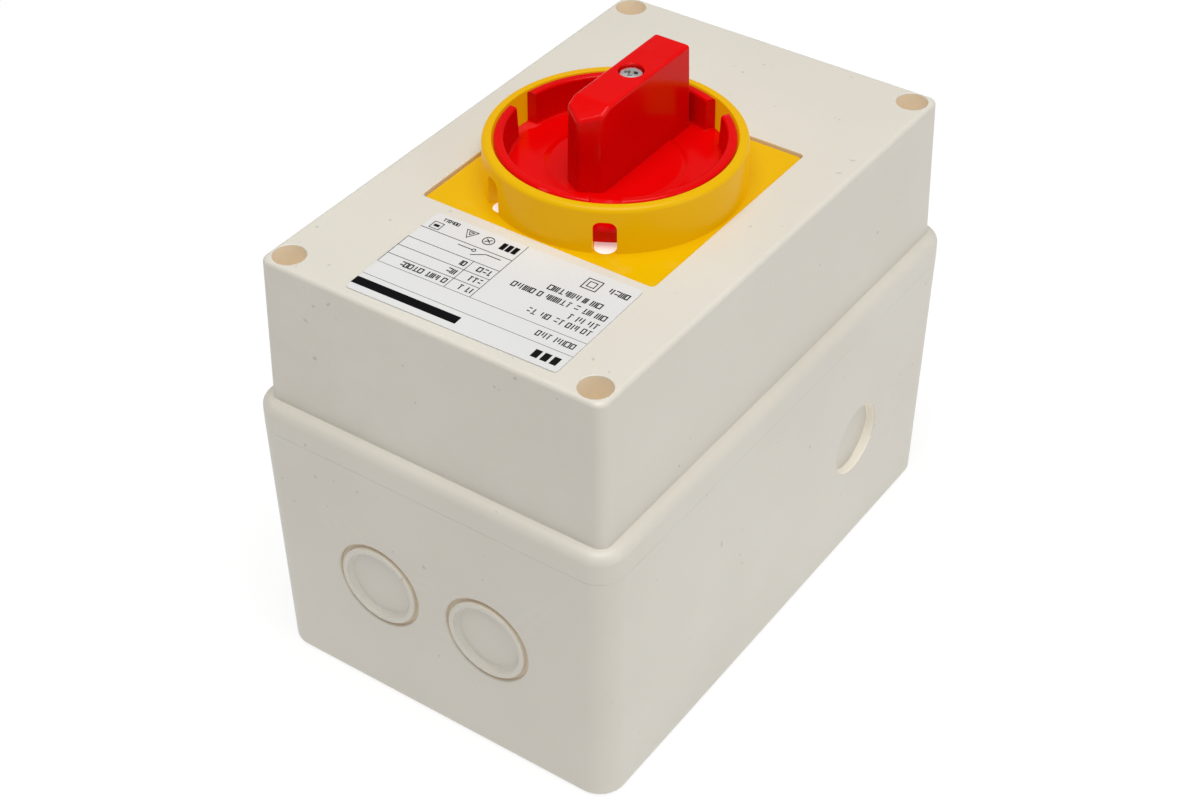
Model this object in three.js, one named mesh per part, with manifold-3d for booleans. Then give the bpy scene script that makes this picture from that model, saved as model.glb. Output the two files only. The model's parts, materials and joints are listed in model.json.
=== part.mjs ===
// Enclosed rotary isolator switch: a two-shell wall box, a padlockable front plate with a red
// bar-grip handle, and a three-pole cam switch that hangs from the lid.
// Millimetres. +Z points out of the front, +Y up the wall, the origin is at the centre of the rear face.
import * as THREE from "three";
import { mergeVertices } from "three/addons/utils/BufferGeometryUtils.js";
import Module from "manifold-3d";

const wasm = await Module();
wasm.setup();

// ---------------------------------------------------------------- driving dimensions
const GAP = 0.3; // clearance kept between neighbouring pieces

// enclosure: half sizes and heights of the two shells
const SEAM = { x: 51.0, y: 77.2, z: 70.7, r: 7 };
const REAR = { x: 50.0, y: 76.2, r: 7 };
const SHOULDER = { x: 47.8, y: 74.0, z: 78.4, round: 3 };
const FRONT = { x: 46.8, y: 73.0, z: 117.6, r: 2.4, round: 1.2 };
const WALL = 3;
const RIM_WALL = 5.2; // walls are thicker where the two shells meet
const SCREW = { x: 41.8, y: 68.0, wellR: 3.9, postR: 6, floorZ: 76, bossR: 7.4, holeLow: 50 };
const SCREW_HOLE_R = 2.1; // clearance holes for the lid and plate screws
const LID_SCREW = { headR: 3.4, headTopR: 2.9, headH: 2.6, shankR: 1.8, length: 19 };
const FIXING = { x: 30, y: 55, r: 2.6, depth: 1.8 }; // break-out dimples in the rear face
const GROOVE = { outer: 1.5, inner: 3.7, depth: 1.5 }; // for the gasket, insets from the outside
const GASKET = { outer: 1.8, inner: 3.4, low: 1.2 };

// knockouts for cable entries
const ENTRY = { z: 35.9, spread: 16.1, r: 12, slit: 0.9, dishR: 9.3, dish: 0.8, depth: 1.6 };
const SIDE_ENTRY = { y: -36.4, z: 35.2, r: 9.8, depth: 2.6, padR: 12, pad: 1.4 };

// front plate, ring and handle, heights measured from the lid's front face
const PLATE = { half: 32, low: -2.8, top: -0.8, corner: 1.2, holeR: 15.5 };
const RING = { inner: 28.75, outer: 31.2, top: 11.2, round: 1.0 };
const WINDOW = { angles: [60, 120], width: 5.6, top: 7.6, holeR: 2.65, holeAt: 28.6 };
const PLATE_SCREW_AT = 14.5;
const PLATE_SCREW = { headLowR: 1.9, headR: 3.3, headH: 1.7, shankR: 1.8, length: 17.5,
  sinkLowR: 2.2, sinkR: 3.9 };
const PAD = { half: 34, depth: 6.5 }; // thicker stretch of the lid behind the plate
const SEAL = { seatR: 11.6, seatDepth: 5.7, ringR: 10.5, cordR: 0.9, depth: 4.7 };
const CUP = { outer: 28.35, rimInner: 25.9, floorR: 25.2, rim: 11.3, floor: 3, under: 0.8, skirt: 0.2 };
const CUP_DISC = { r: 16.4, z: 4 };
const NOTCH = { angles: [0, 120, 240], width: 7.4, base: 7.2, floor: 3.2 };
const GRIP = { half: 4.95, baseHalf: 5.3, draft: 0.35, tail: -23.9, slope: 9.2, shoulder: 12.0, nose: 15.2,
  top: 25.05, noseZ: 22.2 };
const GRIP_SCREW = { y: -6.4, headR: 2.7, headH: 1.9, seatR: 3.05, shankR: 1.3, boreR: 1.7,
  low: -6.5, top: 24.5 };
const HUB = { flangeR: 15, top: 0.5, under: -2.6, neckR: 9, neckHoleR: 9.4, neckLow: -10, socketTop: -3.9 };
const KEY = { y: 6.5, w: 5.4, l: 10, depth: 2 };

// cam switch, hung from the lid; heights are absolute
const BODY = 31; // half width of the switch blocks
const BODY_R = 4;
const LATCH = { low: 96.8, top: 110.8, wall: 3, boreR: 17 };
const LATCH_PLATE = { low: 95.3, top: 96.5 };
const CHAMBER = { height: 15, floor: 2.5, boreR: 14, lows: [80.0, 64.7] };
const REAR_COVER = { low: 61.4, top: 64.4 };
const TIE_BOLT = { y: 24, r: 1.9, holeR: 2.3, headR: 3.9, headH: 3 };
const SHAFT_HOLE_R = 7.8;
const SHAFT = { side: 8, low: 60.9, top: 113.3, clearance: 0.35 };
const INDEX = { valley: 14.4, crest: 16.0, low: 98.6, step: 100.6, top: 106.2, hubR: 10,
  lugAngle: 45, lugHalf: 14 };
const STOP = { at: 14.4, r: 1.7, beyond: 9.5 }; // posts that the wheel's lug meets, past its edges in degrees
const DETENT = { tip: 16.3, nose: 1.6, seat: 23.5, end: 28.9, half: 2.8, stemR: 1.1,
  low: 101.0, high: 106.4 };
const CAM = { high: 12.0, low: 9.0, thick: 9, hubR: 7.2 };
const TRAVEL = CAM.high - CAM.low; // stroke of each contact bridge over a quarter turn
const POLES = [
  { pole: 1, chamber: 0, side: -1 },
  { pole: 2, chamber: 0, side: 1 },
  { pole: 3, chamber: 1, side: -1 },
];
const LABEL = { w: 56, h: 34.2, x: -4, y: 52.6, turn: 1.4, thick: 0.25 };

// ---------------------------------------------------------------- materials
const finish = (color, roughness, metalness = 0) =>
  new THREE.MeshStandardMaterial({ color, roughness, metalness });
const MATERIAL = {
  shell: finish(0xe3decf, 0.45),
  yellow: finish(0xf0b400, 0.35),
  red: finish(0xd8000c, 0.18),
  white: finish(0xf2f0ec, 0.6),
  paper: finish(0xf4f4f2, 0.5),
  black: finish(0x24262a, 0.5),
  grey: finish(0x8f9296, 0.5),
  natural: finish(0xd9d2bd, 0.5),
  zinc: finish(0xb9bec2, 0.35, 0.9),
  steel: finish(0x9fa3a6, 0.4, 0.9),
  brass: finish(0xc8a04a, 0.35, 0.9),
  rubber: finish(0x2b2b2b, 0.85),
};

// ---------------------------------------------------------------- solids
// A manifold from any closed three.js geometry.
function solid(geometry) {
  const bare = geometry.index ? geometry.toNonIndexed() : geometry.clone();
  bare.deleteAttribute("normal");
  bare.deleteAttribute("uv");
  const merged = mergeVertices(bare, 1e-4);
  const mesh = new wasm.Mesh({
    numProp: 3,
    vertProperties: merged.attributes.position.array,
    triVerts: new Uint32Array(merged.index.array),
  });
  return new wasm.Manifold(mesh);
}

// A named three.js mesh from a manifold.
function part(name, material, body) {
  const mesh = body.getMesh();
  const geometry = new THREE.BufferGeometry();
  geometry.setAttribute("position", new THREE.BufferAttribute(mesh.vertProperties, 3));
  geometry.setIndex(new THREE.BufferAttribute(mesh.triVerts, 1));
  const flat = geometry.toNonIndexed();
  flat.computeVertexNormals();
  const made = new THREE.Mesh(flat, material);
  made.name = name;
  return made;
}

// A block given by its two corners.
function block(x0, x1, y0, y1, z0, z1) {
  const geometry = new THREE.BoxGeometry(x1 - x0, y1 - y0, z1 - z0);
  geometry.translate((x0 + x1) / 2, (y0 + y1) / 2, (z0 + z1) / 2);
  return solid(geometry);
}

// An upright cylinder or cone at x, y between two heights.
function post(x, y, r, z0, z1, rTop = r, sides = 14) {
  const geometry = new THREE.CylinderGeometry(rTop, r, z1 - z0, sides);
  geometry.rotateX(Math.PI / 2);
  geometry.translate(x, y, (z0 + z1) / 2);
  return solid(geometry);
}

// A cylinder whose axis runs along X or Y.
function rodX(x0, x1, y, z, r, sides = 14) {
  const geometry = new THREE.CylinderGeometry(r, r, x1 - x0, sides);
  geometry.rotateZ(Math.PI / 2);
  geometry.translate((x0 + x1) / 2, y, z);
  return solid(geometry);
}
function rodY(y0, y1, x, z, r, sides = 14) {
  const geometry = new THREE.CylinderGeometry(r, r, y1 - y0, sides);
  geometry.translate(x, (y0 + y1) / 2, z);
  return solid(geometry);
}

// A turned body from a closed profile of [radius, height] points, anticlockwise in that plane.
function turned(profile, sides = 48) {
  const points = profile.map(([r, z]) => new THREE.Vector2(r, z));
  points.push(points[0].clone());
  const geometry = new THREE.LatheGeometry(points, sides);
  geometry.rotateX(Math.PI / 2);
  return solid(geometry);
}

// Corner points of a rectangle with rounded corners, anticlockwise.
function roundedRing(halfX, halfY, r, steps = 3) {
  const points = [];
  const corners = [[1, 1], [-1, 1], [-1, -1], [1, -1]];
  corners.forEach(([sx, sy], quarter) => {
    for (let i = 0; i <= steps; i += 1) {
      const a = (Math.PI / 2) * (quarter + i / steps);
      points.push([sx * (halfX - r) + r * Math.cos(a), sy * (halfY - r) + r * Math.sin(a)]);
    }
  });
  return points;
}

// A closed body through a stack of rings, each {z, points}, all with the same number of points.
function stacked(rings) {
  const n = rings[0].points.length;
  const vertices = [];
  rings.forEach(({ z, points }) => points.forEach(([x, y]) => vertices.push(x, y, z)));
  const faces = [];
  for (let k = 0; k + 1 < rings.length; k += 1) {
    for (let i = 0; i < n; i += 1) {
      const j = (i + 1) % n;
      const a = k * n + i;
      const b = k * n + j;
      faces.push(a, b, b + n, a, b + n, a + n);
    }
  }
  const outline = rings[0].points.map(([x, y]) => new THREE.Vector2(x, y));
  const caps = THREE.ShapeUtils.triangulateShape(outline, []);
  const topOutline = rings[rings.length - 1].points.map(([x, y]) => new THREE.Vector2(x, y));
  const topCaps = THREE.ShapeUtils.triangulateShape(topOutline, []);
  const last = (rings.length - 1) * n;
  caps.forEach(([a, b, c]) => faces.push(a, c, b));
  topCaps.forEach(([a, b, c]) => faces.push(last + a, last + b, last + c));
  const geometry = new THREE.BufferGeometry();
  geometry.setAttribute("position", new THREE.Float32BufferAttribute(vertices, 3));
  geometry.setIndex(faces);
  return solid(geometry);
}

// A tapering box with rounded upright edges from a list of {x, y, z, r} sections.
const shellOf = (sections) =>
  stacked(sections.map(({ x, y, z, r }) => ({ z, points: roundedRing(x, y, r) })));

// A helical spring along X between two ends.
function springX(x0, x1, y, z, coilR, wireR, turns) {
  const side = Math.sign(x1 - x0);
  const length = Math.abs(x1 - x0) - 2 * wireR;
  class Helix extends THREE.Curve {
    getPoint(t, target = new THREE.Vector3()) {
      const a = t * turns * Math.PI * 2;
      return target.set(x0 + side * (wireR + t * length), y + coilR * Math.cos(a), z + coilR * Math.sin(a));
    }
  }
  const section = new THREE.Shape(
    [...Array(4).keys()].map((i) => {
      const a = (i / 4) * Math.PI * 2;
      return new THREE.Vector2(wireR * Math.cos(a), wireR * Math.sin(a));
    }),
  );
  const options = { steps: turns * 8, extrudePath: new Helix(), bevelEnabled: false };
  return solid(new THREE.ExtrudeGeometry(section, options));
}

// A prism from an outline in X and Y.
function prism(points, z0, z1) {
  return stacked([{ z: z0, points }, { z: z1, points }]);
}

const union = (bodies) => bodies.reduce((a, b) => a.add(b));
const without = (body, cuts) => cuts.reduce((a, b) => a.subtract(b), body);
const fourCorners = (x, y) => [[-x, y], [x, y], [-x, -y], [x, -y]];
const turn = (degrees) => (degrees * Math.PI) / 180;
// Half size of a shell wall at a height, between the sizes at two heights.
const between = (a, b, z0, z1, z) => a + ((b - a) * (z - z0)) / (z1 - z0);

// ---------------------------------------------------------------- enclosure
const BASE_TOP = SEAM.z - GAP;

// The Y-facing knockouts: a thin slit round a disc, and a shallow dish in the disc.
function endEntryCuts(sign) {
  const face = between(REAR.y, SEAM.y, 0, SEAM.z, ENTRY.z);
  const out = sign * (face + 1);
  const cutTo = sign * (face - ENTRY.depth);
  const dishTo = sign * (face - ENTRY.dish);
  return [-ENTRY.spread, ENTRY.spread].flatMap((x) => {
    const rod = (r, to) => rodY(Math.min(out, to), Math.max(out, to), x, ENTRY.z, r, 28);
    return [rod(ENTRY.r, cutTo).subtract(rod(ENTRY.r - ENTRY.slit, cutTo)), rod(ENTRY.dishR, dishTo)];
  });
}

// The X-facing knockouts: a deep dish with a pad behind it inside the box.
function sideEntry(sign) {
  const face = between(REAR.x, SEAM.x, 0, SEAM.z, SIDE_ENTRY.z);
  const ends = (a, b) => [Math.min(sign * a, sign * b), Math.max(sign * a, sign * b)];
  const [padLow, padHigh] = ends(face - WALL - SIDE_ENTRY.pad, face - 1);
  const [cutLow, cutHigh] = ends(face - SIDE_ENTRY.depth, face + 1);
  return {
    pad: rodX(padLow, padHigh, SIDE_ENTRY.y, SIDE_ENTRY.z, SIDE_ENTRY.padR, 24),
    cut: rodX(cutLow, cutHigh, SIDE_ENTRY.y, SIDE_ENTRY.z, SIDE_ENTRY.r, 28),
  };
}

// A ring that runs round the seam, between two insets from the outside.
function seamRing(outerInset, innerInset, z0, z1) {
  const ring = (inset, low, high) =>
    shellOf([low, high].map((z) => ({ x: SEAM.x - inset, y: SEAM.y - inset, z, r: SEAM.r - inset })));
  return ring(outerInset, z0, z1).subtract(ring(innerInset, z0 - 1, z1 + 1));
}

function enclosureBase() {
  const edge = 1;
  const outer = shellOf([
    { x: REAR.x - edge, y: REAR.y - edge, z: 0, r: REAR.r - edge },
    { x: REAR.x, y: REAR.y, z: edge, r: REAR.r },
    { x: SEAM.x, y: SEAM.y, z: BASE_TOP, r: SEAM.r },
  ]);
  const inner = shellOf([
    { x: REAR.x - WALL, y: REAR.y - WALL, z: WALL, r: REAR.r - WALL },
    { x: SEAM.x - WALL, y: SEAM.y - WALL, z: 58, r: SEAM.r - WALL },
    { x: SEAM.x - RIM_WALL, y: SEAM.y - RIM_WALL, z: 61, r: 3 },
    { x: SEAM.x - RIM_WALL, y: SEAM.y - RIM_WALL, z: BASE_TOP + 1, r: 3 },
  ]);
  const bosses = fourCorners(SCREW.x, SCREW.y).map(([x, y]) => post(x, y, SCREW.bossR, 1, BASE_TOP));
  const sides = [-1, 1].map(sideEntry);
  const pads = sides.map((s) => s.pad);
  const body = union([outer.subtract(inner), ...bosses.map((b) => b.intersect(outer)), ...pads]);
  const groove = seamRing(GROOVE.outer, GROOVE.inner, BASE_TOP - GROOVE.depth, BASE_TOP + 1);
  const screwHoles = fourCorners(SCREW.x, SCREW.y).map(([x, y]) =>
    post(x, y, SCREW_HOLE_R, SCREW.holeLow, BASE_TOP + 1));
  const dimples = fourCorners(FIXING.x, FIXING.y).map(([x, y]) => post(x, y, FIXING.r, -1, FIXING.depth));
  const cuts = [groove, ...screwHoles, ...dimples];
  return without(body, [...cuts, ...endEntryCuts(1), ...endEntryCuts(-1), ...sides.map((s) => s.cut)]);
}

function lidOutside() {
  const low = SEAM.z;
  const rounding = [0, 1, 2, 3].map((i) => {
    const a = (Math.PI / 6) * i;
    const inset = SHOULDER.round * (1 - Math.cos(a));
    const z = SHOULDER.z - SHOULDER.round * (1 - Math.sin(a));
    return { x: SEAM.x - inset, y: SEAM.y - inset, z, r: SEAM.r - inset };
  });
  const top = FRONT.z;
  return shellOf([
    { x: SEAM.x, y: SEAM.y, z: low, r: SEAM.r },
    ...rounding,
    { x: SHOULDER.x, y: SHOULDER.y, z: SHOULDER.z + 0.05, r: 3 },
    { x: FRONT.x, y: FRONT.y, z: top - FRONT.round, r: FRONT.r },
    { x: FRONT.x - 0.35, y: FRONT.y - 0.35, z: top - 0.35, r: FRONT.r - 0.3 },
    { x: FRONT.x - FRONT.round, y: FRONT.y - FRONT.round, z: top, r: FRONT.r - FRONT.round },
  ]);
}

const plateScrewHoles = (z0, z1) =>
  fourCorners(PLATE_SCREW_AT, PLATE_SCREW_AT).map(([x, y]) => post(x, y, SCREW_HOLE_R, z0, z1));

function enclosureLid() {
  const top = FRONT.z;
  const outer = lidOutside();
  const inner = shellOf([
    { x: SEAM.x - RIM_WALL, y: SEAM.y - RIM_WALL, z: SEAM.z - 1, r: 3 },
    { x: SHOULDER.x - WALL, y: SHOULDER.y - WALL, z: SHOULDER.z, r: 2 },
    { x: FRONT.x - WALL, y: FRONT.y - WALL, z: top - WALL, r: 1.5 },
  ]);
  const corners = fourCorners(SCREW.x, SCREW.y);
  const posts = corners.map(([x, y]) => post(x, y, SCREW.postR, SEAM.z, top).intersect(outer));
  const pad = block(-PAD.half, PAD.half, -PAD.half, PAD.half, top - PAD.depth, top - 1);
  const shell = union([outer.subtract(inner), pad, ...posts]);
  const half = PLATE.half + GAP;
  const recess = shellOf([
    { x: half, y: half, z: top - 4, r: PLATE.corner },
    { x: half, y: half, z: top + 1, r: PLATE.corner },
  ]);
  const wells = corners.map(([x, y]) => post(x, y, SCREW.wellR, SCREW.floorZ, top + 1));
  const throughs = corners.map(([x, y]) => post(x, y, SCREW_HOLE_R, SEAM.z - 1, SCREW.floorZ + 1));
  const shaftHole = post(0, 0, HUB.neckHoleR, top - 8, top, HUB.neckHoleR, 28);
  const sealSeat = post(0, 0, SEAL.seatR, top - SEAL.seatDepth, top, SEAL.seatR, 28);
  const screwHoles = plateScrewHoles(top - 8, top);
  return without(shell, [recess, ...wells, ...throughs, shaftHole, sealSeat, ...screwHoles]);
}

function lidGasket() {
  return seamRing(GASKET.outer, GASKET.inner, BASE_TOP - GASKET.low, SEAM.z - 0.1);
}

// A cross-recess cut for a screw head that faces +Z.
function crossRecess(x, y, z, reach, depth) {
  const arm = 0.28 * reach;
  const bar = (hx, hy) => block(x - hx, x + hx, y - hy, y + hy, z - depth, z + 1);
  return bar(reach, arm).add(bar(arm, reach));
}

function lidScrew(x, y) {
  const low = SCREW.floorZ + GAP;
  const high = low + LID_SCREW.headH;
  const head = post(x, y, LID_SCREW.headR, low, high, LID_SCREW.headTopR);
  const shank = post(x, y, LID_SCREW.shankR, low - LID_SCREW.length, low + 1);
  return head.add(shank).subtract(crossRecess(x, y, high, 1.9, 1.4));
}

// ---------------------------------------------------------------- front plate and handle
const LID = FRONT.z;

// Walls of the ring, rounded at the top.
function ringWall() {
  const { inner, outer, top, round } = RING;
  const z = LID + top;
  return turned([
    [inner, LID + PLATE.top - 0.5],
    [outer, LID + PLATE.top - 0.5],
    [outer, z - round],
    [outer - 0.3 * round, z - 0.3 * round],
    [outer - round, z],
    [inner + 0.3, z],
    [inner, z - 0.4],
  ]);
}

// An arch-topped slot through the ring at an angle, over a round hole in the plate.
function padlockCut(angle) {
  const arch = WINDOW.top - WINDOW.width / 2;
  const slot = block(25, 35, -WINDOW.width / 2, WINDOW.width / 2, LID + PLATE.top, LID + arch);
  const crown = rodX(25, 35, 0, LID + arch, WINDOW.width / 2, 16);
  const hole = post(WINDOW.holeAt, 0, WINDOW.holeR, LID + PLATE.low - 1, LID + 1);
  return union([slot, crown, hole]).rotate([0, 0, angle]);
}

function frontPlate() {
  const square = shellOf([PLATE.low, PLATE.top].map((z) => ({
    x: PLATE.half, y: PLATE.half, z: LID + z, r: PLATE.corner,
  })));
  const centre = post(0, 0, PLATE.holeR, LID - 5, LID + 1, PLATE.holeR, 32);
  const sinks = fourCorners(PLATE_SCREW_AT, PLATE_SCREW_AT).map(([x, y]) =>
    post(x, y, PLATE_SCREW.sinkLowR, LID + PLATE.low - 0.5, LID + PLATE.top + 0.1, PLATE_SCREW.sinkR));
  return without(square.add(ringWall()), [centre, ...sinks, ...WINDOW.angles.map(padlockCut)]);
}

function plateSeal() {
  const half = PLATE.half - 0.8;
  const low = LID - 3.7;
  const sheet = block(-half, half, -half, half, low, low + 0.6);
  const centre = post(0, 0, PLATE.holeR, low - 1, low + 2, PLATE.holeR, 32);
  return without(sheet, [centre, ...plateScrewHoles(low - 1, low + 2)]);
}

function plateScrew(x, y) {
  const top = LID + PLATE.top - GAP;
  const head = post(x, y, PLATE_SCREW.headLowR, top - PLATE_SCREW.headH, top, PLATE_SCREW.headR);
  const shank = post(x, y, PLATE_SCREW.shankR, top - PLATE_SCREW.length, top - 1);
  return head.add(shank).subtract(crossRecess(x, y, top, 1.7, 1));
}

// The cup: floor with a raised disc, drafted inner wall and a rounded rim.
function cup() {
  const { outer, rimInner, floorR, rim, floor, under, skirt } = CUP;
  const z = (h) => LID + h;
  return turned([
    [0, z(under)],
    [floorR + 0.3, z(under)],
    [floorR + 0.3, z(skirt)],
    [outer, z(skirt)],
    [outer, z(rim - 1)],
    [outer - 0.3, z(rim - 0.3)],
    [outer - 1, z(rim)],
    [rimInner + 0.7, z(rim)],
    [rimInner + 0.2, z(rim - 0.2)],
    [rimInner, z(rim - 0.7)],
    [floorR + 0.4, z(floor + 1.2)],
    [floorR - 0.8, z(floor)],
    [CUP_DISC.r + 0.4, z(floor)],
    [CUP_DISC.r, z(CUP_DISC.z)],
    [0, z(CUP_DISC.z)],
  ], 60);
}

// One notch through the rim, a little wider at the top, with cut lower corners.
function rimNotch(angle) {
  const z = (h) => LID + h;
  const level = (h, half) => ({ z: z(h), points: [[22, -half], [30, -half], [30, half], [22, half]] });
  return stacked([
    level(NOTCH.floor, NOTCH.base / 2 - 0.6),
    level(NOTCH.floor + 0.8, NOTCH.base / 2),
    level(NOTCH.floor + 10, NOTCH.width / 2),
  ]).rotate([0, 0, angle]);
}

// The bar grip: a straight tail, a pointed nose and a facet that falls towards the nose.
function grip() {
  const { half, baseHalf, draft, tail, shoulder, nose, slope } = GRIP;
  const outline = (w, end) => [
    [w, tail - end], [w, shoulder + end], [0, nose + end], [-w, shoulder + end], [-w, tail - end],
  ];
  const bar = stacked([
    { z: LID + CUP.under + 0.5, points: outline(baseHalf, draft) },
    { z: LID + GRIP.top, points: outline(half, 0) },
  ]);
  const fall = (y) => between(GRIP.top, GRIP.noseZ, slope, nose, y);
  const far = nose + 5;
  const slice = new THREE.Shape([
    new THREE.Vector2(slope, LID + fall(slope)),
    new THREE.Vector2(far, LID + fall(far)),
    new THREE.Vector2(far, LID + GRIP.top + 5),
    new THREE.Vector2(slope, LID + GRIP.top + 5),
  ]);
  const wedge = new THREE.ExtrudeGeometry(slice, { depth: 20, bevelEnabled: false });
  wedge.translate(0, 0, -10);
  wedge.rotateY(Math.PI / 2);
  wedge.rotateX(Math.PI / 2);
  return bar.subtract(solid(wedge));
}

// The key under the cup that turns the hub, or its slot when given some room all round.
function keyBlock(room, z0, z1) {
  const halfW = KEY.w / 2 + room;
  const halfL = KEY.l / 2 + room;
  return block(-halfW, halfW, KEY.y - halfL, KEY.y + halfL, z0, z1);
}

function handle() {
  const z = (h) => LID + h;
  const fitted = grip().intersect(post(0, 0, CUP.outer - 2, z(0), z(40), CUP.outer - 2, 60));
  const body = union([cup(), fitted, keyBlock(0, z(CUP.under - KEY.depth), z(CUP.under + 0.5))]);
  const { y, seatR, boreR, top, headH } = GRIP_SCREW;
  const seat = post(0, y, seatR, z(top - headH - GAP), z(40), seatR, 28);
  const bore = post(0, y, boreR, z(-2), z(30));
  return without(body, [...NOTCH.angles.map(rimNotch), seat, bore]);
}

function handleScrew() {
  const z = (h) => LID + h;
  const { y, headR, shankR, low, top, headH } = GRIP_SCREW;
  const head = post(0, y, headR, z(top - headH), z(top - 0.5)).add(
    post(0, y, headR, z(top - 0.5), z(top), headR - 0.5));
  const shank = post(0, y, shankR, z(low), z(top - 1));
  return head.add(shank).subtract(crossRecess(0, y, z(top), 1.6, 1.1));
}

function driveHub() {
  const z = (h) => LID + h;
  const flange = post(0, 0, HUB.flangeR, z(HUB.under), z(HUB.top), HUB.flangeR, 32);
  const neck = post(0, 0, HUB.neckR, z(HUB.neckLow), z(HUB.under + 1), HUB.neckR, 28);
  const socket = squareHole(z(HUB.neckLow - 1), z(HUB.socketTop));
  const slot = keyBlock(GAP, z(CUP.under - KEY.depth - GAP), z(2));
  const tapped = post(0, GRIP_SCREW.y, GRIP_SCREW.shankR + GAP, z(GRIP_SCREW.low - 1), z(2));
  return without(flange.add(neck), [socket, slot, tapped]);
}

// Round cord seal between the neck of the hub and the lid.
function shaftSeal() {
  const ring = new THREE.TorusGeometry(SEAL.ringR, SEAL.cordR, 8, 28);
  ring.translate(0, 0, LID - SEAL.depth);
  return solid(ring);
}

function ratingLabel() {
  const low = LID + 0.05;
  const sheet = shellOf([low, low + LABEL.thick].map((z) => ({ x: LABEL.w / 2, y: LABEL.h / 2, z, r: 0.8 })));
  return sheet.rotate([0, 0, LABEL.turn]).translate([LABEL.x, LABEL.y, 0]);
}

// ---------------------------------------------------------------- cam switch
const switchBlock = (z0, z1) => shellOf([z0, z1].map((z) => ({ x: BODY, y: BODY, z, r: BODY_R })));
const boltHoles = (z0, z1) => [-TIE_BOLT.y, TIE_BOLT.y].map((y) => post(0, y, TIE_BOLT.holeR, z0, z1));

function squareHole(z0, z1) {
  const half = SHAFT.side / 2 + SHAFT.clearance;
  return block(-half, half, -half, half, z0, z1);
}

function shaft() {
  const half = SHAFT.side / 2;
  return block(-half, half, -half, half, SHAFT.low, SHAFT.top);
}

function latchHousing() {
  const body = switchBlock(LATCH.low, LATCH.top);
  const bore = post(0, 0, LATCH.boreR, LATCH.low - 1, LATCH.top - LATCH.wall, LATCH.boreR, 28);
  const neckHole = post(0, 0, HUB.neckHoleR, LATCH.top - 5, LATCH.top + 1, HUB.neckHoleR, 28);
  const guide = DETENT.half + GAP;
  const reach = DETENT.end + GAP;
  const channel = block(-reach, reach, -guide, guide, DETENT.low - GAP, DETENT.high + GAP);
  const screwHoles = plateScrewHoles(LATCH.low + 1.5, LATCH.top + 1);
  return without(body, [bore, neckHole, channel, ...screwHoles, ...boltHoles(LATCH.low - 1, LATCH.low + 10)]);
}

// Sheet under the latch, with the two posts that stop the quarter turn.
function latchPlate() {
  const sheet = switchBlock(LATCH_PLATE.low, LATCH_PLATE.top);
  const centre = post(0, 0, SHAFT_HOLE_R, LATCH_PLATE.low - 1, LATCH_PLATE.top + 1);
  const stopAngle = INDEX.lugAngle + INDEX.lugHalf + STOP.beyond;
  const stops = [stopAngle, -stopAngle].map((a) =>
    post(STOP.at, 0, STOP.r, LATCH_PLATE.low + 0.2, INDEX.step - 0.4).rotate([0, 0, a]));
  return without(union([sheet, ...stops]), [centre, ...boltHoles(LATCH_PLATE.low - 1, LATCH_PLATE.top + 1)]);
}

// Wheel with four shallow valleys a quarter turn apart, over a disc sector that meets the stops.
function indexWheel() {
  const mean = (INDEX.crest + INDEX.valley) / 2;
  const swing = (INDEX.crest - INDEX.valley) / 2;
  const star = [...Array(48).keys()].map((i) => {
    const a = turn(i * 7.5);
    const r = mean - swing * Math.cos(4 * a);
    return [r * Math.cos(a), r * Math.sin(a)];
  });
  const lug = [[0, 0]];
  for (let i = 0; i <= 4; i += 1) {
    const a = turn(INDEX.lugAngle - INDEX.lugHalf + (i * INDEX.lugHalf) / 2);
    lug.push([INDEX.crest * Math.cos(a), INDEX.crest * Math.sin(a)]);
  }
  const hub = post(0, 0, INDEX.hubR, INDEX.low, INDEX.step + 1, INDEX.hubR, 20);
  const body = union([prism(star, INDEX.step, INDEX.top), prism(lug, INDEX.low, INDEX.step + 0.5), hub]);
  return body.subtract(squareHole(INDEX.low - 1, INDEX.top + 1));
}

// Sprung plunger whose round nose rides the index wheel.
function detentPlunger(side) {
  const { tip, nose, seat, half, low, high, stemR } = DETENT;
  const outline = [[seat, -half], [seat, half], [tip + nose, half], [tip + 0.4, half - 1.3], [tip, 0.6],
    [tip, -0.6], [tip + 0.4, 1.3 - half], [tip + nose, -half]];
  const middle = (low + high) / 2;
  const body = prism(outline, low, high).add(rodX(seat - 1, seat + 2.4, 0, middle, stemR));
  return side > 0 ? body : body.rotate([0, 0, 180]);
}

function detentSpring(side) {
  const middle = (DETENT.low + DETENT.high) / 2;
  return springX(side * (DETENT.seat + GAP), side * DETENT.end, 0, middle, 1.9, 0.4, 4);
}

// Contact positions in a chamber, measured outwards from the shaft along X.
const CONTACT = {
  stripIn: 13.4, stripOut: 15.4, buttonOut: 16.2, // fixed strip and its contact button
  bridgeIn: 20.3, bridgeOut: 22.3, // moving bridge with the poles open
  springEnd: 28.9,
  stemR: 1.1, // stem of the plunger, through the bridge and into the spring
  halfZ: 3.5, midZ: 8, // contact height and its centre above the chamber's floor level
};
const TERMINAL = { x0: 15, x1: 24, y0: 18.5, y1: 28.5, half: 4.5, wireR: 2.9, screwY: 23.5 };

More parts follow.
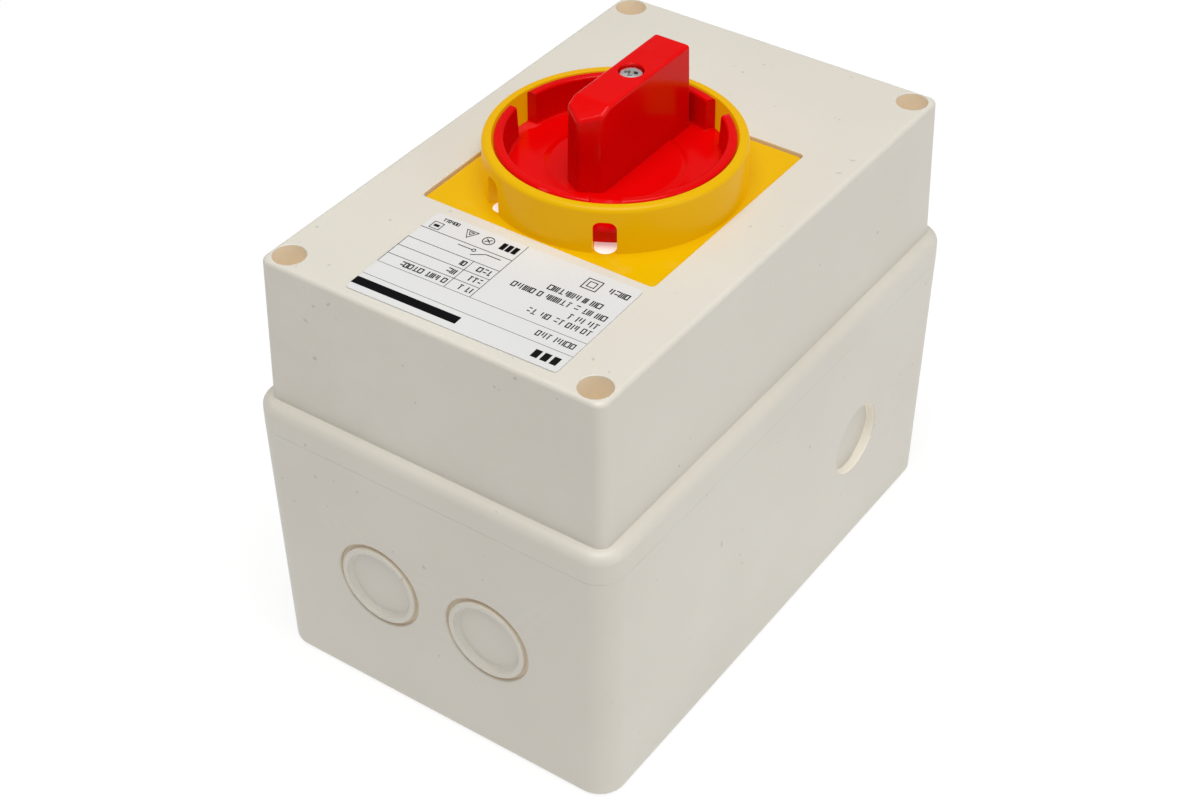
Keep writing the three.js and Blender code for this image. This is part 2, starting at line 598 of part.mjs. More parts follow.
function contactChamber(low) {
  const high = low + CHAMBER.height;
  const mid = low + CONTACT.midZ;
  const open = high + 1;
  const body = switchBlock(low, high);
  const bore = post(0, 0, CHAMBER.boreR, low + CHAMBER.floor, open, CHAMBER.boreR, 28);
  const shaftHole = post(0, 0, SHAFT_HOLE_R, low - 1, open);
  const sides = [-1, 1].flatMap((s) => {
    const slot = (a, b, y0, y1, z0) =>
      block(Math.min(s * a, s * b), Math.max(s * a, s * b), y0, y1, z0, open);
    const guide = slot(12, CONTACT.springEnd + GAP, -3.3, 3.3, low + CHAMBER.floor);
    const bridge = slot(16.6, 22.9, -14.6, 14.6, low + CHAMBER.floor);
    const ends = [-1, 1].flatMap((t) => {
      const y = (a, b) => [Math.min(t * a, t * b), Math.max(t * a, t * b)];
      const strip = slot(13.1, 16.7, ...y(8.7, 19.8), low + CHAMBER.floor);
      const pocket = slot(14.7, 24.3, ...y(18.2, BODY + 1), low + CHAMBER.floor);
      const access = rodX(Math.min(s * 24, s * 32), Math.max(s * 24, s * 32), t * TERMINAL.screwY, mid, 3.4);
      return [strip, pocket, access];
    });
    return [guide, bridge, ...ends];
  });
  return without(body, [bore, shaftHole, ...sides, ...boltHoles(low - 1, open)]);
}

// Cam whose radius falls evenly over a quarter turn, the same on both sides of the shaft.
function cam(low) {
  const side = [];
  const step = 7.5;
  for (let a = -15; a <= 157.5; a += step) {
    let r = CAM.high;
    if (a > 0) r = CAM.high - (TRAVEL * Math.min(a, 90)) / 90;
    if (a > 105) r = CAM.low + (TRAVEL * (a - 105)) / 60;
    side.push([a, r]);
  }
  const outline = [0, 180].flatMap((shift) => side.map(([a, r]) => {
    const at = turn(a + shift);
    return [r * Math.cos(at), r * Math.sin(at)];
  }));
  const camLow = low + CONTACT.midZ - CAM.thick / 2;
  const hub = post(0, 0, CAM.hubR, low + 0.5, low + CHAMBER.height - 0.4, CAM.hubR, 20);
  return prism(outline, camLow, camLow + CAM.thick).add(hub).subtract(squareHole(low - 1, low + 16));
}

const atPole = (side, body) => (side > 0 ? body : body.rotate([0, 0, 180]));

// Plastic follower between the cam and the bridge, with a stem that guides the spring.
function contactPlunger(pole) {
  const mid = CHAMBER.lows[pole.chamber] + CONTACT.midZ;
  const tip = CAM.high + GAP;
  const shoulder = CONTACT.bridgeIn - GAP;
  const outline = [[shoulder, -2.9], [shoulder, 2.9], [tip + 1.6, 2.9], [tip + 0.5, 1.9], [tip, 0.7],
    [tip, -0.7], [tip + 0.5, -1.9], [tip + 1.6, -2.9]];
  const body = prism(outline, mid - 3, mid + 3);
  return atPole(pole.side, body.add(rodX(shoulder - 1, CONTACT.bridgeOut + 2, 0, mid, CONTACT.stemR)));
}

function contactBridge(pole) {
  const mid = CHAMBER.lows[pole.chamber] + CONTACT.midZ;
  const { bridgeIn, bridgeOut, halfZ } = CONTACT;
  const bar = block(bridgeIn, bridgeOut, -14, 14, mid - halfZ, mid + halfZ);
  const buttons = [-11.5, 11.5].map((y) => rodX(bridgeIn - 0.8, bridgeIn + 1, y, mid, 2.4));
  return atPole(pole.side, union([bar, ...buttons]).subtract(rodX(18, 24, 0, mid, 1.5)));
}

function contactSpring(pole) {
  const mid = CHAMBER.lows[pole.chamber] + CONTACT.midZ;
  const from = CONTACT.bridgeOut + GAP;
  return springX(pole.side * from, pole.side * CONTACT.springEnd, 0, mid, 2.1, 0.45, 4);
}

// Strip with a contact button and a clamp block that has a wire hole and a tapped hole.
function fixedContact(pole, end) {
  const mid = CHAMBER.lows[pole.chamber] + CONTACT.midZ;
  const { stripIn, stripOut, buttonOut, halfZ } = CONTACT;
  const { x0, x1, y0, y1, half, wireR, screwY } = TERMINAL;
  const strip = block(stripIn, stripOut, 9, y0 + 1, mid - halfZ, mid + halfZ);
  const button = rodX(stripOut - 1, buttonOut, 11.5, mid, 2.4);
  const clamp = block(x0, x1, y0, y1, mid - half, mid + half);
  const wire = rodY(y0 + 2, y1 + 1, (x0 + x1) / 2, mid, wireR);
  const tapped = rodX((x0 + x1) / 2, x1 + 1, screwY, mid, 1.9);
  const body = without(union([strip, button, clamp]), [wire, tapped]);
  const upper = end > 0 ? body : body.mirror([0, 1, 0]);
  return pole.side > 0 ? upper : upper.mirror([1, 0, 0]);
}

function terminalScrew(pole, end) {
  const mid = CHAMBER.lows[pole.chamber] + CONTACT.midZ;
  const { x1, screwY } = TERMINAL;
  const head = rodX(x1 + GAP, x1 + 3.2, screwY, mid, 3);
  const shank = rodX(x1 - 1.3, x1 + 1, screwY, mid, 1.6);
  const slot = block(x1 + 2.2, x1 + 4, screwY - 3.5, screwY + 3.5, mid - 0.5, mid + 0.5);
  const body = head.add(shank).subtract(slot);
  const upper = end > 0 ? body : body.mirror([0, 1, 0]);
  return pole.side > 0 ? upper : upper.mirror([1, 0, 0]);
}

function rearCover() {
  const body = switchBlock(REAR_COVER.low, REAR_COVER.top);
  const bearing = post(0, 0, 6.1, REAR_COVER.low - 1, REAR_COVER.top + 1);
  return without(body, [bearing, ...boltHoles(REAR_COVER.low - 1, REAR_COVER.top + 1)]);
}

function tieBolt(y) {
  const under = REAR_COVER.low - GAP;
  const head = post(0, y, TIE_BOLT.headR, under - TIE_BOLT.headH, under, TIE_BOLT.headR, 6);
  return head.add(post(0, y, TIE_BOLT.r, under - 1, LATCH.low + 8.7));
}

// ---------------------------------------------------------------- assembly
const isolator = new THREE.Group();
const add = (name, material, body) => isolator.add(part(name, material, body));

add("enclosure_base", MATERIAL.shell, enclosureBase());
add("enclosure_lid", MATERIAL.shell, enclosureLid());
add("lid_gasket", MATERIAL.rubber, lidGasket());
fourCorners(SCREW.x, SCREW.y).forEach(([x, y], i) =>
  add(`lid_screw_${i + 1}`, MATERIAL.zinc, lidScrew(x, y)));

add("front_plate", MATERIAL.yellow, frontPlate());
add("plate_seal", MATERIAL.white, plateSeal());
fourCorners(PLATE_SCREW_AT, PLATE_SCREW_AT).forEach(([x, y], i) =>
  add(`plate_screw_${i + 1}`, MATERIAL.zinc, plateScrew(x, y)));
add("handle", MATERIAL.red, handle());
add("handle_screw", MATERIAL.zinc, handleScrew());
add("drive_hub", MATERIAL.black, driveHub());
add("shaft_seal", MATERIAL.rubber, shaftSeal());
add("rating_label", MATERIAL.paper, ratingLabel());

add("drive_shaft", MATERIAL.steel, shaft());
add("latch_housing", MATERIAL.black, latchHousing());
add("latch_plate", MATERIAL.steel, latchPlate());
add("index_wheel", MATERIAL.natural, indexWheel());
[-1, 1].forEach((side, i) => {
  add(`detent_plunger_${i + 1}`, MATERIAL.natural, detentPlunger(side));
  add(`detent_spring_${i + 1}`, MATERIAL.steel, detentSpring(side));
});
CHAMBER.lows.forEach((low, i) => {
  add(`contact_chamber_${i + 1}`, MATERIAL.grey, contactChamber(low));
  add(`switching_cam_${i + 1}`, MATERIAL.natural, cam(low));
});
POLES.forEach((pole) => {
  add(`contact_plunger_${pole.pole}`, MATERIAL.natural, contactPlunger(pole));
  add(`contact_bridge_${pole.pole}`, MATERIAL.brass, contactBridge(pole));
  add(`contact_spring_${pole.pole}`, MATERIAL.steel, contactSpring(pole));
  [1, -1].forEach((end) => {
    const name = `pole_${pole.pole}_${end > 0 ? "line" : "load"}`;
    add(`${name}_contact`, MATERIAL.brass, fixedContact(pole, end));
    add(`${name}_screw`, MATERIAL.zinc, terminalScrew(pole, end));
  });
});
add("rear_cover", MATERIAL.grey, rearCover());
[TIE_BOLT.y, -TIE_BOLT.y].forEach((y, i) => add(`tie_bolt_${i + 1}`, MATERIAL.zinc, tieBolt(y)));

export default isolator;
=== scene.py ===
import json
import math
import random

import bmesh
import bpy
from mathutils import Matrix, Vector


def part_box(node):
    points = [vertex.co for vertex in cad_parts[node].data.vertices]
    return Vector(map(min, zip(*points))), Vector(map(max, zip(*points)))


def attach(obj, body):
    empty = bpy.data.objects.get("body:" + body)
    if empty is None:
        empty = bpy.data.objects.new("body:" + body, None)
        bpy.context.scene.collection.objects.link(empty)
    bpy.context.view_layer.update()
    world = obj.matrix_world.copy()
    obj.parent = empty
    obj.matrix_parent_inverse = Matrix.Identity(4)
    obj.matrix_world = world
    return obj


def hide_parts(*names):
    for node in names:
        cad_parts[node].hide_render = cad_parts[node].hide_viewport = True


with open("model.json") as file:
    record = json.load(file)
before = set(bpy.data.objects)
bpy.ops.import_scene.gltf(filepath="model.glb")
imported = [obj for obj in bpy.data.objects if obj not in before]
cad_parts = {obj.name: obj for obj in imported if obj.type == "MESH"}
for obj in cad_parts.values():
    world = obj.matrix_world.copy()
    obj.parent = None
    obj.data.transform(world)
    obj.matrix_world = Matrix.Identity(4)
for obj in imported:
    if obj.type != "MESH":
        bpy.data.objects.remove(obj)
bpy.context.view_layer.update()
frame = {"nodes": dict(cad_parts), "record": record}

MM = 0.001


def box_mm(node):
    low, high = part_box(node)
    return low / MM, high / MM


# ---------------------------------------------------------------- sizes: outer ones come from the frame
BASE_HIGH = box_mm("enclosure_base")[1]
LID_LOW, LID_HIGH = box_mm("enclosure_lid")
PLATE_LOW, PLATE_HIGH = box_mm("front_plate")
HANDLE_HIGH = box_mm("handle")[1]
SCREW_LOW, SCREW_HIGH = box_mm("handle_screw")
LID_SCREW_LOW, LID_SCREW_HIGH = box_mm("lid_screw_2")

SEAM_X, SEAM_Y, SEAM_Z = LID_HIGH.x, LID_HIGH.y, LID_LOW.z
BASE_TOP = BASE_HIGH.z
LID = LID_HIGH.z  # height of the lid's front face
REAR_INSET = 1.0  # the base tapers by this much from the seam to the rear
SEAM_R = 7.0  # corner radius at the seam
SEAM_EDGE = 0.06
SEAM_GAP = 0.02
REAR_EDGE = 1.0
SHOULDER_Z = 78.4
SHOULDER_ROUND = 2.9
SHOULDER_INSET = 3.2
SHOULDER_TAPER = 1.25  # how much faster than its inset the shoulder's corner radius shrinks
FRONT_INSET = 4.2
FRONT_R, FRONT_EDGE, FRONT_TAPER = 2.6, 1.2, 0.75
WALL = 3.0
RIM_WALL = 5.2
RIM_R, RIM_LOW, RIM_HIGH = 3, 58, 61  # the base's wall thickens between these heights, up to the seam
LID_ROOM_R, LID_ROOM_TOP_R = 2, 1.5
LID_PAD, LID_PAD_DEPTH = 34, 6.5  # half the width of the lid's thicker square, and its thickness
HUB_HOLE_R, SEAL_SEAT_R, SEAL_SEAT_DEPTH = 9.4, 11.6, 5.7  # the step in the middle of that square
GROOVE_OUT, GROOVE_IN, GROOVE_DEPTH = 1.5, 3.7, 1.5  # the gasket's groove, inset from the seam

SCREW_X = (LID_SCREW_LOW.x + LID_SCREW_HIGH.x) / 2
SCREW_Y = (LID_SCREW_LOW.y + LID_SCREW_HIGH.y) / 2
SCREW_HOLE_R = 2.1
PILOT_FLOOR = 50
WELL_R, WELL_FLOOR, WELL_LEAN = 3.9, 76.0, 0.1  # WELL_LEAN: how much narrower it is at its floor
POST_R = 6.0
BOSS_R = 7.4
LIP = 0.3  # rounding where a hole meets a face
DIMPLE_X, DIMPLE_Y, DIMPLE_R, DIMPLE_DEPTH = 30, 55, 2.6, 1.8

ENTRY_Z, ENTRY_X = 35.9, 16.1
ENTRY_R, ENTRY_SLIT, ENTRY_DEPTH, ENTRY_LIP = 11.9, 0.95, 0.95, 0.6
DISH_R, DISH_DEPTH, DISH_SLOPE = 8.5, 1.1, 1.2
BEAD_R, BEAD_HALF, BEAD_HIGH = 10.2, 0.72, 0.34  # soft bead between the slit and the dish
SIDE_ENTRY_Y, SIDE_ENTRY_Z, SIDE_ENTRY_R, SIDE_ENTRY_DEPTH = -36.4, 35.2, 9.8, 2.6
SIDE_ENTRY_WALL = SEAM_X - REAR_INSET * (1 - SIDE_ENTRY_Z / SEAM_Z)
SIDE_PAD_R, SIDE_PAD_IN, SIDE_PAD_HIGH = 12.0, 1.4, 3.4  # thickening behind the side break-out

PLATE_HALF, PLATE_R, PLATE_EDGE = PLATE_HIGH.x, 1.2, 0.3
RECESS_GAP, RECESS_LIP, RECESS_DEPTH = 0.3, 0.25, 4  # the plate's seat in the lid
PLATE_TOP = -0.8  # from here on, heights are measured from the lid's front face
PLATE_UNDER = PLATE_LOW.z - LID
PLATE_HOLE_R = 15.5
PLATE_SCREW_AT = 14.5
SINK_R, SINK_SHANK_R = 3.9, 2.2
RING_INNER, RING_OUTER, RING_ROUND = 28.75, 31.2, 1.25
RING_TOP = PLATE_HIGH.z - LID
RING_INNER_ROUND = 0.3
WINDOW_ANGLES, WINDOW_WIDTH, WINDOW_TOP, WINDOW_ROUND = (60, 120), 5.6, 7.6, 2.0
WINDOW_HOLE_R, WINDOW_HOLE_AT, WINDOW_SLOT_FROM = 2.65, 28.55, 26.4
PLUG_GAP, PLUG_SUNK = 0.06, 0.2
CUP_OUTER, RIM_INNER, FLOOR_R, RIM_Z, FLOOR_Z = HANDLE_HIGH.x, 25.9, 25.2, 11.3, 3.0
CUP_UNDER, SKIRT_UNDER = 0.8, 0.2
RIM_ROUND, RIM_INNER_ROUND, FLOOR_FILLET = 0.8, 0.7, 0.8
DISC_R, DISC_Z = 16.4, 3.5
NOTCH_ANGLES = (0, 120, 240)
NOTCH_HALF_LOW, NOTCH_HALF_HIGH, NOTCH_CORNER = 3.6, 3.75, 0.4
NOTCH_GAP_AT, NOTCH_GAP_REACH = 8.0, 1.9  # degrees beside a notch's middle that get no columns
GRIP_TOP = HANDLE_HIGH.z - LID
GRIP_TAIL, GRIP_SLOPE, GRIP_SHOULDER, GRIP_NOSE, NOSE_Z = -23.9, 9.2, 12.0, 15.2, 22.2
GRIP_HALF, GRIP_BASE_HALF, GRIP_DRAFT = 4.95, 5.3, 0.35
GRIP_EDGE = 0.9
GRIP_SCREW_Y = (SCREW_LOW.y + SCREW_HIGH.y) / 2
GRIP_SCREW_TOP = SCREW_HIGH.z - LID
SCREW_SEAT_R, SCREW_SEAT_DEEPER, SCREW_BORE_R, SCREW_BORE_DEPTH = 3.05, 2.2, 1.7, 28
KEY_HALF, KEY_FROM, KEY_TO, KEY_LOW, KEY_HIGH = 2.7, 1.5, 11.5, -1.2, 1.3

LABEL_W, LABEL_H, LABEL_X, LABEL_Y, LABEL_TURN = 56.0, 34.2, -4.0, 52.6, 1.4
LABEL_R, LABEL_EDGE, LABEL_UNDER = 0.9, 0.06, 0.05


# ---------------------------------------------------------------- shapes: (vertices, faces) in millimetres
def rounded_rect(half_x, half_y, r, steps):
    points = []
    for corner, (sx, sy) in enumerate(((1, 1), (-1, 1), (-1, -1), (1, -1))):
        for i in range(steps + 1):
            a = math.pi / 2 * (corner + i / steps)
            points.append((sx * (half_x - r) + r * math.cos(a), sy * (half_y - r) + r * math.sin(a)))
    return points


def lofted(sections):
    """A closed body through [(z, points)], each with the same number of points."""
    n = len(sections[0][1])
    vertices = [(x, y, z) for z, points in sections for x, y in points]
    faces = []
    for k in range(len(sections) - 1):
        for i in range(n):
            j = (i + 1) % n
            faces.append((k * n + i, k * n + j, (k + 1) * n + j, (k + 1) * n + i))
    faces.append(tuple(reversed(range(n))))
    faces.append(tuple((len(sections) - 1) * n + i for i in range(n)))
    return vertices, faces


def framed(outer, inner, z0, z1):
    """A closed band between two outlines with the same number of points."""
    n = len(outer)
    vertices = [(x, y, z) for z in (z0, z1) for points in (outer, inner) for x, y in points]
    faces = []
    for i in range(n):
        j = (i + 1) % n
        faces.append((i, j, 2 * n + j, 2 * n + i))
        faces.append((n + j, n + i, 3 * n + i, 3 * n + j))
        faces.append((j, i, n + i, n + j))
        faces.append((2 * n + i, 2 * n + j, 3 * n + j, 3 * n + i))
    return vertices, faces


def lathed(profile, sides, skip=()):
    """A closed body turned from [(radius, height)]. skip holds (angle, reach) in degrees with no columns."""
    angles = []
    for i in range(sides):
        a = 360 * i / sides
        gaps = [abs((a - centre + 180) % 360 - 180) <= reach for centre, reach in skip]
        if not any(gaps):
            angles.append(math.radians(a))
    n = len(angles)
    vertices, rows = [], []
    for r, z in profile:
        start = len(vertices)
        if r < 1e-6:
            vertices.append((0.0, 0.0, z))
            rows.append([start] * n)
        else:
            vertices.extend((r * math.cos(a), r * math.sin(a), z) for a in angles)
            rows.append(list(range(start, start + n)))
    faces = []
    for k, row in enumerate(rows):
        above = rows[(k + 1) % len(rows)]
        for i in range(n):
            j = (i + 1) % n
            corners = []
            for v in (row[i], row[j], above[j], above[i]):
                if v not in corners:
                    corners.append(v)
            if len(corners) > 2:
                faces.append(tuple(corners))
    return vertices, faces


def block(x0, x1, y0, y1, z0, z1):
    return lofted([(z, [(x1, y1), (x0, y1), (x0, y0), (x1, y0)]) for z in (z0, z1)])


def moved(shape, matrix):
    vertices, faces = shape
    return [tuple(matrix @ Vector(v)) for v in vertices], faces


def joined(shapes):
    vertices, faces = [], []
    for more_vertices, more_faces in shapes:
        start = len(vertices)
        vertices.extend(more_vertices)
        faces.extend(tuple(start + v for v in face) for face in more_faces)
    return vertices, faces


def quarter(r, steps):
    """Points of a quarter arc as (r - r cos, r sin), for rounded edges."""
    turns = [math.radians(90 * i / steps) for i in range(steps + 1)]
    return [(r - r * math.cos(a), r * math.sin(a)) for a in turns]


def hole_profile(r, depth, lip, floor_round=0.0):
    """Profile of a cutter for a round hole that goes from 0 down to -depth, with a rounded mouth."""
    steps = 4
    out = 1.0  # how far the cutter stands out of the face
    points = [(0.0, -depth)]
    if floor_round:
        for i in range(steps + 1):
            a = math.radians(90 * i / steps)
            side = floor_round - floor_round * math.sin(a)
            points.append((r - side, -depth + floor_round - floor_round * math.cos(a)))
    else:
        points.append((r, -depth))
    points += [(r + dx, -lip + dz) for dx, dz in quarter(lip, steps)]
    points += [(r + lip, out), (0.0, out)]
    return points


def facing(origin, normal, up=(0, 0, 1)):
    """Matrix that puts a cutter's own +Z along a face's normal at a point."""
    z = Vector(normal).normalized()
    x = Vector(up).cross(z).normalized()
    y = z.cross(x)
    return Matrix.Translation(origin) @ Matrix((x, y, z)).transposed().to_4x4()


def at(x, y, z=0.0):
    return Matrix.Translation((x, y, z))


def turned_by(degrees):
    return Matrix.Rotation(math.radians(degrees), 4, "Z")


FOUR = ((-1, 1), (1, 1), (-1, -1), (1, -1))
SHARP_ANGLE = 32  # degrees between two faces past which their edge is drawn sharp


# ---------------------------------------------------------------- objects
def as_object(name, shape):
    vertices, faces = shape
    mesh = bpy.data.meshes.new(name)
    bm = bmesh.new()
    made = [bm.verts.new(Vector(v) * MM) for v in vertices]
    for face in faces:
        bm.faces.new([made[i] for i in face])
    bmesh.ops.recalc_face_normals(bm, faces=bm.faces[:])
    bm.to_mesh(mesh)
    bm.free()
    obj = bpy.data.objects.new(name, mesh)
    bpy.context.scene.collection.objects.link(obj)
    return obj


def apply_modifiers(obj):
    bpy.context.view_layer.update()
    graph = bpy.context.evaluated_depsgraph_get()
    mesh = bpy.data.meshes.new_from_object(obj.evaluated_get(graph))
    old = obj.data
    obj.modifiers.clear()
    obj.data = mesh
    bpy.data.meshes.remove(old)
    mesh.name = obj.name


def boolean(obj, operation, shape):
    """Cuts or joins a shape, or another object, and keeps the result as the object's mesh."""
    tool = shape if isinstance(shape, bpy.types.Object) else as_object("tool", shape)
    modifier = obj.modifiers.new("cut", "BOOLEAN")
    modifier.operation = operation
    modifier.solver = "EXACT"
    modifier.object = tool
    apply_modifiers(obj)
    bpy.data.objects.remove(tool)


def smooth(obj):
    """Smooth shading that stays flat on large faces and sharp past an angle."""
    obj.data.shade_smooth()
    obj.data.set_sharp_from_angle(angle=math.radians(SHARP_ANGLE))
    weighted = obj.modifiers.new("normals", "WEIGHTED_NORMAL")
    weighted.keep_sharp = True
    weighted.weight = 60
    return obj


def bevelled(obj, width, segments, degrees):
    modifier = obj.modifiers.new("edges", "BEVEL")
    modifier.width = width * MM
    modifier.segments = segments
    modifier.limit_method = "ANGLE"
    modifier.angle_limit = math.radians(degrees)
    modifier.use_clamp_overlap = True
    apply_modifiers(obj)


def paint_light_and_shade(obj, material, is_inside):
    """Gives the faces whose middle, in millimetres, passes the test a second material, which paints light or
    shade on them.
    """
    obj.data.materials.append(material)
    index = len(obj.data.materials) - 1
    for polygon in obj.data.polygons:
        if is_inside(polygon.center / MM):
            polygon.material_index = index


def dressed(obj, material, body, slot, *nodes):
    """Gives a new piece its material and its body, and hides the CAD nodes it stands for; its slot is not
    used.
    """
    obj.data.materials.clear()
    obj.data.materials.append(material)
    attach(obj, body)
    if nodes:
        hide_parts(*nodes)
    return obj


# ---------------------------------------------------------------- materials
RUBBED_LIGHTER = 0.2  # how far a rubbed edge goes towards white


def node_maker(name):
    """A new material with its shader, and helpers that add nodes to it."""
    material = bpy.data.materials.new(name)
    material.use_nodes = True
    nodes, links = material.node_tree.nodes, material.node_tree.links
    shader = nodes["Principled BSDF"]
    place = nodes.new("ShaderNodeTexCoord").outputs["Object"]

    def noise(scale, detail, stretch=None):
        source = place
        if stretch:
            mapping = nodes.new("ShaderNodeMapping")
            mapping.inputs["Scale"].default_value = stretch
            links.new(place, mapping.inputs["Vector"])
            source = mapping.outputs["Vector"]
        texture = nodes.new("ShaderNodeTexNoise")
        texture.inputs["Scale"].default_value = scale
        texture.inputs["Detail"].default_value = detail
        links.new(source, texture.inputs["Vector"])
        return texture.outputs["Fac"]

    def spread(value, low, high, to_low, to_high):
        ramp = nodes.new("ShaderNodeMapRange")
        ramp.inputs["From Min"].default_value = low
        ramp.inputs["From Max"].default_value = high
        ramp.inputs["To Min"].default_value = to_low
        ramp.inputs["To Max"].default_value = to_high
        links.new(value, ramp.inputs["Value"])
        return ramp.outputs["Result"]

    def mixed(value, first, second):
        mix = nodes.new("ShaderNodeMix")
        mix.data_type = "RGBA"
        links.new(value, mix.inputs["Factor"])
        for socket, colour in ((mix.inputs["A"], first), (mix.inputs["B"], second)):
            if isinstance(colour, tuple):
                socket.default_value = (*colour, 1.0)
            else:
                links.new(colour, socket)
        return mix.outputs["Result"]

    def bump(height, strength, distance, below=None):
        made = nodes.new("ShaderNodeBump")
        made.inputs["Strength"].default_value = strength
        made.inputs["Distance"].default_value = distance
        links.new(height, made.inputs["Height"])
        if below:
            links.new(below, made.inputs["Normal"])
        return made.outputs["Normal"]

    return material, shader, links, noise, spread, mixed, bump


def moulded(name, colour, tint, roughness, grain, ripple=0.0, specks=0.0, scuffs=0.05, subsurface=0.0,
            shine=0.5, glow=0.0, glow_colour=None, wear=0.12):
    """Moulded plastic: slow colour drift, mould grain, faint flow ripple, scuffs, specks and rubbed edges.

    The glow is painted light, standing in for light that passes through thin plastic or spreads inside it.
    """
    material, shader, links, noise, spread, mixed, bump = node_maker(name)
    drift = spread(noise(18.0, 2.0), 0.35, 0.65, 0.0, 1.0)
    base = mixed(drift, colour, tint)
    if specks:
        dark = tuple(c * 0.55 for c in colour)
        dust = spread(noise(420.0, 1.0), 0.76, 0.80, 0.0, specks)
        base = mixed(dust, base, dark)
    geometry = material.node_tree.nodes.new("ShaderNodeNewGeometry")
    edges = spread(geometry.outputs["Pointiness"], 0.52, 0.60, 0.0, 1.0)
    rubbed = material.node_tree.nodes.new("ShaderNodeMath")
    rubbed.operation = "MULTIPLY"
    links.new(edges, rubbed.inputs[0])
    links.new(spread(noise(160.0, 3.0), 0.42, 0.62, 0.0, wear), rubbed.inputs[1])
    base = mixed(rubbed.outputs[0], base, tuple(c + RUBBED_LIGHTER * (1.0 - c) for c in colour))
    links.new(base, shader.inputs["Base Color"])
    if glow:
        if glow_colour:
            shader.inputs["Emission Color"].default_value = (*glow_colour, 1.0)
        else:
            links.new(base, shader.inputs["Emission Color"])
        shader.inputs["Emission Strength"].default_value = glow
    shader.inputs["Specular IOR Level"].default_value = shine
    scratch = spread(noise(240.0, 4.0, stretch=(1.0, 0.12, 0.5)), 0.55, 0.75, 0.0, scuffs)
    cloud = spread(noise(55.0, 3.0), 0.3, 0.7, -0.04, 0.04)
    add = material.node_tree.nodes.new("ShaderNodeMath")
    add.operation = "ADD"
    links.new(scratch, add.inputs[0])
    links.new(cloud, add.inputs[1])
    total = material.node_tree.nodes.new("ShaderNodeMath")
    total.operation = "ADD"
    links.new(add.outputs[0], total.inputs[0])
    total.inputs[1].default_value = roughness
    total.use_clamp = True
    links.new(total.outputs[0], shader.inputs["Roughness"])
    normal = bump(noise(2600.0, 2.0), grain, 0.00002)
    if ripple:
        normal = bump(noise(70.0, 2.0, stretch=(1.0, 0.6, 0.35)), ripple, 0.0002, normal)
    links.new(normal, shader.inputs["Normal"])
    if subsurface:
        shader.inputs["Subsurface Weight"].default_value = subsurface
        shader.inputs["Subsurface Radius"].default_value = (1.0, 0.75, 0.45)
        shader.inputs["Subsurface Scale"].default_value = 0.0012
    return material


def plated(name, colour, dark, roughness):
    """Plated or bare metal: fine drawn lines, patchy tarnish and a slightly uneven surface."""
    material, shader, links, noise, spread, mixed, bump = node_maker(name)
    tarnish = spread(noise(260.0, 4.0), 0.4, 0.7, 0.0, 1.0)
    links.new(mixed(tarnish, colour, dark), shader.inputs["Base Color"])
    lines = noise(900.0, 3.0, stretch=(1.0, 1.0, 6.0))
    links.new(spread(lines, 0.3, 0.7, roughness - 0.08, roughness + 0.12), shader.inputs["Roughness"])
    links.new(bump(lines, 0.25, 0.00002), shader.inputs["Normal"])
    shader.inputs["Metallic"].default_value = 1.0
    return material


SHELL = moulded("shell_plastic", (0.668, 0.635, 0.560), (0.640, 0.606, 0.532), 0.42, grain=0.3, ripple=0.12,
                specks=0.5, subsurface=0.12)
# painted light: the screw wells get a warmer tan and a glow for light that spreads inside them
SHELL_WELL_PAINTED_LIGHT = moulded("shell_wells_painted_light", (0.66, 0.555, 0.41), (0.64, 0.535, 0.39), 0.6, grain=0.2,
                     shine=0.1, glow=0.27)
# painted light: the break-out slits get a warm tan and a faint glow
SHELL_SLIT_PAINTED_LIGHT = moulded("shell_slits_painted_light", (0.64, 0.57, 0.46), (0.62, 0.54, 0.43), 0.6, grain=0.2,
                     shine=0.1, glow=0.10)
# painted light: the wall of each side break-out is drawn lighter and glows
SHELL_SIDE_ENTRY_PAINTED_LIGHT = moulded("shell_side_entry_wall_painted_light", (0.72, 0.68, 0.59), (0.70, 0.65, 0.56), 0.5, grain=0.2,
                    shine=0.2, glow=0.24)
# the glow is painted light that lifts the yellow's shaded parts to a bright orange
YELLOW = moulded("yellow_plastic", (0.385, 0.292, 0.0005), (0.370, 0.276, 0.0004), 0.28, grain=0.10,
                 ripple=0.12, scuffs=0.10, shine=0.12, glow=0.40, glow_colour=(1.0, 0.375, 0.0))
RED = moulded("red_plastic", (0.70, 0.0006, 0.0008), (0.64, 0.0005, 0.0006), 0.17, grain=0.03, ripple=0.10,
              scuffs=0.10, shine=0.12)
# the glow is painted light that keeps the window plugs bright in the shade of the cup
WHITE = moulded("white_sheet", (0.82, 0.78, 0.76), (0.78, 0.74, 0.72), 0.55, grain=0.3, glow=0.48)
PAPER = moulded("label_film", (0.668, 0.668, 0.658), (0.645, 0.645, 0.637), 0.38, grain=0.08, scuffs=0.04,
                shine=0.3)
INK = moulded("label_ink", (0.004, 0.004, 0.005), (0.008, 0.008, 0.008), 0.6, grain=0.1, scuffs=0.0,
              shine=0.03, wear=0.0)
BLACK = moulded("black_plastic", (0.018, 0.018, 0.02), (0.03, 0.03, 0.032), 0.45, grain=0.5)
GREY = moulded("grey_plastic", (0.25, 0.26, 0.27), (0.22, 0.23, 0.24), 0.48, grain=0.5)
NATURAL = moulded("natural_plastic", (0.70, 0.65, 0.52), (0.65, 0.60, 0.46), 0.42, grain=0.25, subsurface=0.1)
RUBBER = moulded("black_rubber", (0.022, 0.022, 0.022), (0.035, 0.034, 0.033), 0.75, grain=0.7)
ZINC = plated("zinc_plate", (0.93, 0.95, 0.96), (0.70, 0.73, 0.71), 0.44)
